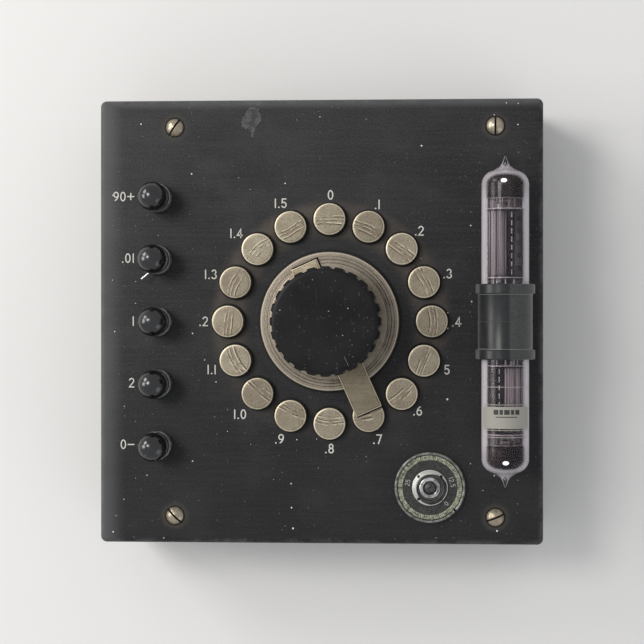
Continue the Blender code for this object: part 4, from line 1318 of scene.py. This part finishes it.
def make_electrodes(body, place, start, mats):
    """Two mica discs and what stands between them: a pale anode half, a sooted half, rods and cathode."""
    def star(angle, _):
        return -0.5 * MM * max(0.0, cos(6 * angle)) ** 6

    micas = [start + level for level in MICA_LEVELS]
    bm = bmesh.new()
    for z in micas:
        lathe(bm, rod(8.0 * MM, z, z + MICA_THICKNESS), 72, place, star)
    piece(f"{body}_mica_discs", bm, mats["mica"], body)

    bm = bmesh.new()
    tall = micas[1] - micas[0] - 1.2 * MM
    mid = (micas[0] + micas[1] + MICA_THICKNESS) / 2
    bar(bm, (7.2 * MM, 8.0 * MM, tall), 1.2 * MM, place @ at(-3.1 * MM, 0, mid), 0)
    for x, slot in ((-5.9, 3), (-4.9, 0), (-3.7, 3), (-2.9, 0), (-1.4, 0), (-0.5, 3)):
        bar(
            bm, (0.34 * MM, 0.4 * MM, tall - 0.6 * MM), 0.12 * MM,
            place @ at(x * MM, -4.02 * MM, mid), slot
        )
    bar(bm, (5.9 * MM, 6.6 * MM, tall), 0.6 * MM, place @ at(3.65 * MM, 0, mid), 1)
    bar(bm, (2.6 * MM, 0.5 * MM, tall - 0.2 * MM), 0.15 * MM, place @ at(5.1 * MM, -3.3 * MM, mid), 3)
    dashes = 8
    for k in range(dashes):
        z = mid + tall * ((k + 0.5) / dashes - 0.5)
        bar(
            bm, (0.42 * MM, 0.35 * MM, tall / dashes * 0.62), 0.1 * MM,
            place @ at(2.45 * MM, -3.42 * MM, z), 2
        )
    for k in range(5):
        z = mid + tall * (k - 2) * 0.19
        bar(bm, (1.5 * MM, 0.3 * MM, 2.0 * MM), 0.12 * MM, place @ at(5.1 * MM, -3.55 * MM, z), 1)
    for sign in (-1, 1):
        post = rod(0.45 * MM, start + 2.4 * MM, start + 44.2 * MM)
        lathe(bm, post, 12, place @ at(sign * 7.2 * MM, 0), slot=2)
    cathode = rod(0.8 * MM, micas[0] - 1.6 * MM, micas[1] + 2.2 * MM)
    lathe(bm, cathode, 16, place @ at(-2.7 * MM, 0), slot=2)
    metals = [mats["anode"], mats["carbon"], mats["pin"], mats["grey"]]
    piece(f"{body}_anode", bm, metals, body, angle=40)


def make_getter_cage(body, place, start, mats):
    """The wire ring over the upper mica disc, with its legs, the getter pan and a back plate."""
    mica, cage = start + MICA_LEVELS[1], start + CAGE_LEVEL
    bm = bmesh.new()
    loop = curve(0, 0, 6.2 * MM, 5.6 * MM, 0, 360, 24)
    tube(bm, [place @ Vector((x, y, cage)) for x, y in loop], 0.35 * MM, 8)
    for x, y in ((-3.4, -4.2), (-1.2, -5.2), (1.4, -5.2), (3.6, -4.0), (-3.0, 4.4), (3.0, 4.4)):
        tube(
            bm, [place @ Vector((x * MM, y * MM, mica)), place @ Vector((x * MM, y * MM, cage))],
            0.25 * MM, 8
        )
    bar(bm, (4.6 * MM, 4.2 * MM, 1.6 * MM), 0.4 * MM, place @ at(0, -0.4 * MM, cage - 1.0 * MM))
    bar(
        bm, (12.4 * MM, 0.4 * MM, cage - mica - 0.9 * MM), 0.1 * MM,
        place @ at(0, 4.9 * MM, (cage + mica + 0.5 * MM) / 2), 1
    )
    piece(f"{body}_getter_cage", bm, [mats["cage"], mats["anode"]], body, angle=50)


def make_painted_glint(body, place, start, side, mats):
    """A painted highlight: a small glowing oval on the mirror in each dome."""
    ball, tilt = BULB_CORNER - BULB_WALL - 0.08 * MM, radians(14)
    bm = bmesh.new()
    spot = []
    for i in range(25):
        a = radians(15 * i)
        out = 0.0 if i == 24 else 1.0
        lean = tilt + out * sin(a) * 0.85 * MM / ball
        r = BULB_RADIUS - BULB_CORNER + ball * cos(lean)
        swing = out * cos(a) * 1.25 * MM / r - (0.09 if side > 0 else 0.0)
        z = start + BULB_SHOULDER + ball * sin(lean)
        spot.append(bm.verts.new(place @ Vector((r * sin(swing), -r * cos(swing), z))))
    for i in range(24):
        bm.faces.new((spot[i], spot[(i + 1) % 24], spot[24]))
    piece(f"{body}_dome_glint", bm, mats["bare"], body, angle=60)


def make_valve_print(body, place, start, mat, mark):
    """A printed band round the glass with plain bars in place of a name, and four thin rings."""
    bm = bmesh.new()
    radius = 9.54 * MM

    def print_on(z, height, first, last, lift=0.0, slot=0):
        low, high = radius + lift * MM, radius + (lift + 0.02) * MM
        bottom, top = start + z * MM, start + (z + height) * MM
        corners = [(low, bottom), (high, bottom), (high, top), (low, top)]
        lathe(bm, corners, 40, place, ring=True, slot=slot, turn=(first, last))

    print_on(28.3, 8.7, -158, -22)
    for first, last in ((-124, -113), (-110, -102), (-99, -86), (-83, -75), (-72, -60)):
        print_on(29.5, 1.9, first, last, 0.03, 1)
    print_on(32.2, 0.35, -118, -66, 0.03, 1)
    for z in (20.4, 27.4, 37.5, 40.3):
        print_on(z, 0.26, -160, -20)
    piece(f"{body}_printed_band", bm, [mat, mark], body, angle=60)


def make_trimmer(mats):
    """The fine-setting capacitor: its dial, hub and vanes turn together inside a fixed rim."""
    place = at(TRIMMER.x, TRIMMER.y)
    make_split_rim(place, mats)
    make_dial(place, mats)
    make_dial_marks(mats)
    make_hub(place, mats)
    make_rotor(place, mats)
    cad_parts["trimmer_stator"].data.materials[0] = mats["vane"]


def make_split_rim(place, mats):
    """The ring round the dial, with a gap at its lower right."""
    low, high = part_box("trimmer_bezel")
    bm = bmesh.new()
    profile = [
        (13.4, low.z / MM), (14.35, low.z / MM), (14.45, low.z / MM + 0.15),
        (14.45, high.z / MM - 0.5)
    ]
    profile += [
        (14.3, high.z / MM - 0.12), (14.05, high.z / MM), (13.6, high.z / MM),
        (13.4, high.z / MM - 0.15)
    ]
    lathe(bm, mm(profile), 120, place, ring=True, turn=(-40.1, 316.1))
    piece("split_rim", bm, mats["rim"], replaces=["trimmer_bezel"], angle=40)


def make_dial(place, mats):
    """An ivory ring for the divisions round a black face that lies a little lower."""
    low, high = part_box("trimmer_dial")
    bm = bmesh.new()
    face = high.z
    dial = [
        (2.8, low.z / MM), (12.9, low.z / MM), (13.1, low.z / MM + 0.2), (13.1, face / MM - 0.2),
        (12.9, face / MM)
    ]
    dial += [(11.25, face / MM)]
    lathe(bm, mm(dial), 96, place, slot=0)
    inner = [(11.25, face / MM), (11.15, face / MM - 0.12), (2.8, face / MM - 0.12), (2.8, low.z / MM)]
    lathe(bm, mm(inner), 96, place, slot=1)
    bmesh.ops.remove_doubles(bm, verts=bm.verts, dist=1e-6)
    piece("graduated_dial", bm, [mats["ivory"], mats["face"]], "trimmer", ["trimmer_dial"])


def make_dial_marks(mats):
    """A hundred divisions, every fifth one long, and three numbers on the black face."""
    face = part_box("trimmer_dial")[1].z
    bm = bmesh.new()
    rise = TOP + 2.1 * MM
    divisions = 100
    for k in range(divisions):
        a = radians(90 - 360 / divisions * k)
        long = k % 5 == 0
        ends = (11.45, 12.75) if long else (11.75, 12.55)
        line = [(TRIMMER.x + r * MM * cos(a), TRIMMER.y + r * MM * sin(a)) for r in ends]
        ribbon(bm, line, (0.26 if long else 0.20) * MM, rise + 0.01 * MM, 0)
    piece("dial_divisions", bm, mats["ink"], "trimmer")

    bm = bmesh.new()
    for text, angle in (("25", 168), ("12.5", 14), ("0", -44)):
        a = radians(angle)
        x, y = TRIMMER.x + 9.3 * MM * cos(a), TRIMMER.y + 9.3 * MM * sin(a)
        engrave(bm, text, x, y, 1.75 * MM, 0.22 * MM, face - 0.12 * MM, 0.5, a - pi / 2)
    piece("dial_numbers", bm, [mats["dial_paint"], mats["cut"]], "trimmer")


def make_hub(place, mats):
    """A sloping enamelled ring between a plated foot and a plated collar."""
    low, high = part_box("trimmer_hub")
    top = high.z / MM
    bottom = low.z / MM
    outer = [(2.8, bottom), (7.3, bottom), (7.3, bottom + 0.25), (7.25, bottom + 0.5)]
    slope = [
        (7.25, bottom + 0.5), (6.9, bottom + 0.62), (6.5, top - 0.35), (5.9, top - 0.08),
        (5.55, top - 0.05)
    ]
    slope += [(5.3, top - 0.3), (5.15, bottom + 0.5), (4.45, bottom + 0.4), (4.3, bottom + 0.6)]
    collar = [
        (4.3, bottom + 0.6), (4.2, top - 0.15), (3.95, top), (3.1, top), (2.8, top - 0.25),
        (2.8, bottom)
    ]
    bm = bmesh.new()
    for slot, profile in ((1, outer), (0, slope), (1, collar)):
        lathe(bm, mm(profile), 96, place, slot=slot)
    bmesh.ops.remove_doubles(bm, verts=bm.verts, dist=1e-6)
    piece(
        "dial_hub", bm, [mats["enamel"], mats["silver"]], "trimmer", ["trimmer_hub"],
        angle=30
    )


def make_rotor(place, mats):
    """The slotted shaft and the three half-round vanes that it turns."""
    low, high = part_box("trimmer_rotor")
    bm = bmesh.new()
    cut_place = at(TRIMMER.x, TRIMMER.y, high.z - 0.9 * MM) @ turned(40)
    slotted_head(bm, 2.5 * MM, 0.88 * MM, 0.7 * MM, cut_place, 1)
    shaft = [
        (0, low.z), (2.2 * MM, low.z), (2.5 * MM, low.z + 0.3 * MM), (2.5 * MM, high.z - 0.95 * MM),
        (0, high.z - 0.95 * MM)
    ]
    lathe(bm, shaft, 32, place)
    for i in range(3):
        z = TOP - 12 * MM - i * 4.5 * MM
        vane = curve(0, 0, 11 * MM, 11 * MM, 90, 270, 30)
        plate(bm, vane, [(0, z - 0.3 * MM), (0, z + 0.3 * MM)], place)
    piece(
        "trimmer_shaft_and_vanes", bm, [mats["vane"], mats["dull"]], "trimmer", ["trimmer_rotor"],
    )


def make_labels(paint, cut):
    """The numbers by the studs and terminals, each a little off its true place, as hand work is."""
    bm = bmesh.new()
    names = [
        ("0", 0.2, 0.5), (
            ".1", -0.6, -0.4
        ), (".2", -0.4, 0.1), (".3", -0.2, -0.5), (".4", -0.5, -0.2), ("5", 0.4, -0.1),
        (".6", -1.1, 0.4), (".7", -0.6, 0.0), (".8", -0.3, 0.1), (".9", -0.9, 0.0), (
            "1.0", 0.4, -0.6
        ), ("1.1", 0.2, 0.5),
        (".2", 0.0, 0.0), ("1.3", -0.2, -1.0), ("1.4", -1.1, -1.4), ("1.5", -0.1, -0.6),
    ]
    for i, (text, off_x, off_y) in enumerate(names):
        a = radians(90 - 360 / STUDS * i)
        radius = (50.4 + 0.9 * len(text)) * MM  # a longer number stands further out
        x, y = HUB.x + radius * cos(a) + off_x * MM, HUB.y + radius * sin(a) + off_y * MM
        engrave(bm, text, x, y, 3.5 * MM, 0.52 * MM, TOP)
    piece("stud_numbers", bm, [paint, cut])
    bm = bmesh.new()
    for number, text in enumerate(["90+", ".01", "1", "2", "0-"], 1):
        centre = middle(f"terminal_post_{number}")
        engrave(
            bm, text, centre.x - 9.8 * MM, centre.y + (0.75 if number < 3 else 0.2) * MM, 3.5 * MM,
            0.50 * MM, TOP, 1.0
        )
    piece("terminal_numbers", bm, [paint, cut])


def make_nuts(mat):
    """A nut and a washer on each stud, each post and the spindle's bush, under the panel."""
    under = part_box("panel")[0].z
    bm = bmesh.new()
    spots = [(middle(f"contact_stud_{i:02d}"), 3.6, 2.0) for i in range(STUDS)]
    spots += [(middle(f"terminal_post_{i}"), 3.6, 2.0) for i in range(1, 6)] + [(HUB, 8.4, 5.0)]
    for centre, across, shank in spots:
        hexagon = curve(0, 0, across * MM, across * MM, 0, 300, 5)
        levels = [
            (0.5 * MM, under - 2.8 * MM), (0.0, under - 2.5 * MM), (0.0, under - 0.7 * MM),
            (0.5 * MM, under - 0.4 * MM)
        ]
        plate(bm, hexagon, levels, at(centre.x, centre.y), caps=(False, False))
        washer = [(shank * MM + 0.1 * MM, under - 0.35 * MM), (across * MM + 0.6 * MM, under - 0.35 * MM)]
        washer += [(across * MM + 0.6 * MM, under - 0.08 * MM), (shank * MM + 0.1 * MM, under - 0.08 * MM)]
        lathe(bm, washer, 32, at(centre.x, centre.y), ring=True)
    piece("nuts_and_washers", bm, mat)


def make_block(block, metal, insulation):
    """The capacitor block with its lugs, and a lead to each from its stud or post."""
    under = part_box("panel")[0].z
    low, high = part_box("capacitor_block")
    size = high - low
    centre = (low + high) / 2
    bm = bmesh.new()
    outline = rectangle(size.x, size.y, 3 * MM, 5)
    plate(bm, outline, edges(low.z, high.z - 1.2 * MM, 0.6 * MM), at(centre.x, centre.y), 0)
    ends = []
    for row, side in (((13, 14, 15, 0, 1, 2, 3, 4), 1), ((12, 11, 10, 9, 8, 7, 6, 5), -1)):
        for k, i in enumerate(row):
            lug = Vector((centre.x + (k - 3.5) * 11.2 * MM, centre.y + side * 16 * MM, 0))
            ends.append((middle(f"contact_stud_{i:02d}"), lug, k % 4))
    for i in range(1, 6):
        lug = Vector((low.x + 4 * MM, centre.y + (3 - i) * 7.5 * MM, 0))
        ends.append((middle(f"terminal_post_{i}"), lug, i % 4))
    foot = high.z - 1.2 * MM
    for _, lug, _ in ends:
        shape = [
            (0, foot), (2.2 * MM, foot), (2.2 * MM, foot + 0.7 * MM), (0.8 * MM, foot + 0.8 * MM),
            (0.8 * MM, high.z), (0, high.z)
        ]
        lathe(bm, shape, 16, at(lug.x, lug.y), slot=1)
    piece("capacitor_can", bm, [block, metal], replaces=["capacitor_block"])

    bm = bmesh.new()
    for post, lug, colour in ends:
        way = (lug - post).normalized() * 2.9 * MM
        run = [
            post + way + Vector((0, 0, under - 3.4 * MM)),
            post + way * 1.1 + Vector((0, 0, under - 7 * MM))
        ]
        run += [
            post.lerp(lug, 0.45) + Vector((0, 0, high.z + (6.0 + colour) * MM)),
            lug + Vector((0, 0, high.z + 4 * MM))
        ]
        run.append(lug + Vector((0, 0, high.z + 0.4 * MM)))
        tube(bm, soften(run, 7 * MM, 6), 0.62 * MM, 10, colour)
    piece("wiring_loom", bm, insulation)


def make_floor():
    """A pale floor that runs out past every view, clear from below so that the feet and base show."""
    s = Shade("floor", Specular_IOR_Level=0.1)
    weave = s.noise(900, 3, 0.6)
    cloud = s.noise(6, 3, 0.5)
    s.bump(s.add(weave, s.mul(cloud, 0.3)), 0.1, 0.0008)
    s.colour = s.mix(cloud, (0.79, 0.778, 0.76), (0.825, 0.813, 0.795))
    s.done(s.line(weave, 0.2, 0.7))
    below = s.node("ShaderNodeNewGeometry", {}).outputs["Backfacing"]
    clear = s.node("ShaderNodeBsdfTransparent", {})
    sided = s.node("ShaderNodeMixShader", {0: below, 1: s.bsdf.outputs[0], 2: clear.outputs[0]})
    s.tree.links.new(sided.outputs[0], s.tree.nodes["Material Output"].inputs["Surface"])
    bm = bmesh.new()
    bmesh.ops.create_grid(bm, x_segments=2, y_segments=2, size=6.0)
    mesh = bpy.data.meshes.new("floor")
    bm.to_mesh(mesh)
    bm.free()
    mesh.materials.append(s.mat)
    floor = bpy.data.objects.new("floor", mesh)
    bpy.context.scene.collection.objects.link(floor)


def make_lights():
    """A dim even sky, lamps above and at the rear left, and a weak fill from the front right."""
    world = bpy.data.worlds.new("studio")
    bpy.context.scene.world = world
    world.use_nodes = True
    background = world.node_tree.nodes["Background"]
    background.inputs["Color"].default_value = SKY_COLOUR
    background.inputs["Strength"].default_value = SKY_STRENGTH
    for name, where, size, power, colour in LAMPS:
        data = bpy.data.lights.new(name, "AREA")
        data.shape, data.size, data.energy, data.color = "SQUARE", size, power, colour
        lamp = bpy.data.objects.new(name, data)
        lamp.location = where
        lamp.visible_transmission = False  # no bright specks from light bent by the valves' glass
        lamp.rotation_euler = (-Vector(where)).to_track_quat("-Z", "Y").to_euler()
        bpy.context.scene.collection.objects.link(lamp)


def make_camera():
    """Above the panel and a little to its right, looking back at its middle."""
    data = bpy.data.cameras.new("camera")
    data.sensor_width, data.lens, data.shift_x = CAMERA_SENSOR, CAMERA_LENS, CAMERA_SHIFT
    data.clip_start, data.clip_end = 0.05, 20
    camera = bpy.data.objects.new("camera", data)
    bpy.context.scene.collection.objects.link(camera)
    camera.location = (CAMERA_X, CAMERA_Y, TOP + CAMERA_ABOVE)
    camera.rotation_euler = CAMERA_TURN
    bpy.context.scene.camera = camera
    bpy.context.scene.view_settings.view_transform = "Standard"


def main():
    make_camera()
    make_floor()
    make_lights()
    knob = ebonite("knob_ebonite", (0.0045, 0.0045, 0.005), (0.010, 0.010, 0.011), 0.38, 0.12, 0.20, 0.14)
    black = terminal_ebonite()
    steel = plain_metal("steel_rod", (0.48, 0.47, 0.45), (0.20, 0.18, 0.15))
    base = plain_metal("base_steel", grey(0.3), (0.16, 0.14, 0.12), 0.45, (30, 700, 30))
    wire = plain_metal("tinned_wire", (0.72, 0.71, 0.68), (0.35, 0.33, 0.30), 0.30)
    screw = nickel("screw_plate", SCREWS[0], (0.46, 0.40, 0.30), (0.22, 0.17, 0.11), 0.34)
    tones = [(0.335, 0.289, 0.212), (0.288, 0.247, 0.184), (0.36, 0.315, 0.235)]
    studs = [
        nickel(f"stud_plate_{i}", HUB, tone, (0.16, 0.125, 0.09), 0.42, "stud")
        for i, tone in enumerate(tones)
    ]
    disc = nickel("disc_plate", HUB, (0.33, 0.285, 0.225), (0.13, 0.102, 0.076), 0.34, "disc")
    arm = nickel("arm_plate", HUB, (0.31, 0.265, 0.185), (0.17, 0.138, 0.092), 0.38, "arm")
    paint = label_paint()
    cut = cut_shade()
    make_panel(panel_face())
    make_case(crackle_paint())
    make_base(base)
    make_feet(rubber())
    make_base_screws(steel)
    make_screws(screw, cut)
    make_studs(studs)
    make_collector(disc)
    make_arm(arm, cut)
    make_knob(knob, label_paint("scratch", grey(0.1), grey(0.05)))
    for node in ("selector_shaft", "selector_bush"):
        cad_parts[node].data.materials[0] = steel
    for number in range(1, 6):
        make_terminal(number, black, screw)
    make_cut_wire(wire)
    sleeve = sleeve_ebonite()
    make_sleeve(sleeve)
    make_saddle(sleeve)
    drawn = (900, 30, 900)
    valve = {
        "glass": bulb_glass(),
        "getter": stained("getter_film", (0.011, 0.009, 0.009), (0.044, 0.031, 0.029), 90, 0.5, shine=0.0),
        "bare": painted_glint(),
        "button": stained("pressed_glass", (0.30, 0.28, 0.29), (0.16, 0.15, 0.16), 300, 0.30),
        "pin": stained("bright_wire", (0.50, 0.48, 0.50), (0.26, 0.24, 0.26), 500, 0.30, 0.6),
        "cage": stained("cage_metal", (0.23, 0.185, 0.18), (0.08, 0.062, 0.06), 500, 0.35, 0.3),
        "mica": stained("mica", (0.40, 0.35, 0.37), (0.26, 0.22, 0.24), 400, 0.30),
        "anode": stained("anode_nickel", (0.22, 0.19, 0.196), (0.125, 0.104, 0.107), 1, 0.45, 0.3, drawn),
        "grey": stained("sooted_nickel", (0.050, 0.042, 0.043), (0.034, 0.028, 0.029), 300, 0.5, shine=0.0),
        "carbon": stained("carbonised", (0.007, 0.006, 0.007), (0.016, 0.013, 0.014), 300, 0.62, shine=0.0),
    }
    make_valve("rear", 1, valve)
    make_valve("front", -1, valve)
    start = -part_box("valve_front_glass")[1].y
    band = label_paint("band_print", (0.33, 0.315, 0.275), (0.24, 0.225, 0.20))
    ink = label_paint("band_marks", (0.045, 0.042, 0.042), (0.11, 0.105, 0.10))
    make_valve_print("valve_front", valve_place(-1), start, band, ink)
    trimmer = {
        "rim": stained("rim_metal", (0.27, 0.275, 0.245), (0.075, 0.08, 0.068), 480, 0.42, 0.6),
        "ivory": stained("ivory_scale", (0.40, 0.405, 0.29), (0.055, 0.058, 0.040), 760, 0.45),
        "face": stained("dial_black", (0.008, 0.008, 0.007), (0.044, 0.045, 0.038), 1100, 0.5),
        "ink": stained("division_ink", (0.020, 0.020, 0.018), (0.07, 0.07, 0.06), 900, 0.55),
        "dial_paint": label_paint("dial_paint", (0.42, 0.42, 0.38), (0.16, 0.16, 0.15)),
        "cut": cut,
        "silver": stained("hub_silver", (0.60, 0.60, 0.585), (0.16, 0.16, 0.155), 420, 0.28, 0.7),
        "enamel": hub_enamel(),
        "dull": stained("shaft_end", grey(0.03), (0.085, 0.085, 0.082), 800, 0.45, 0.4),
        "vane": stained("vane_aluminium", grey(0.55), grey(0.36), 200, 0.40, 0.85),
    }
    make_trimmer(trimmer)
    make_labels(paint, cut)
    covers = {
        "red": (0.2, 0.015, 0.012),
        "black": grey(0.012),
        "green": (0.02, 0.09, 0.03),
        "cream": (0.45, 0.38, 0.24),
    }
    cotton = [
        stained(f"cotton_{name}", tone, dimmed(tone, 0.5), 2400, 0.8)
        for name, tone in covers.items()
    ]
    make_nuts(screw)
    bakelite = stained("brown_bakelite", (0.060, 0.022, 0.010), (0.12, 0.05, 0.024), 90, 0.35)
    make_block(bakelite, screw, cotton)


main()
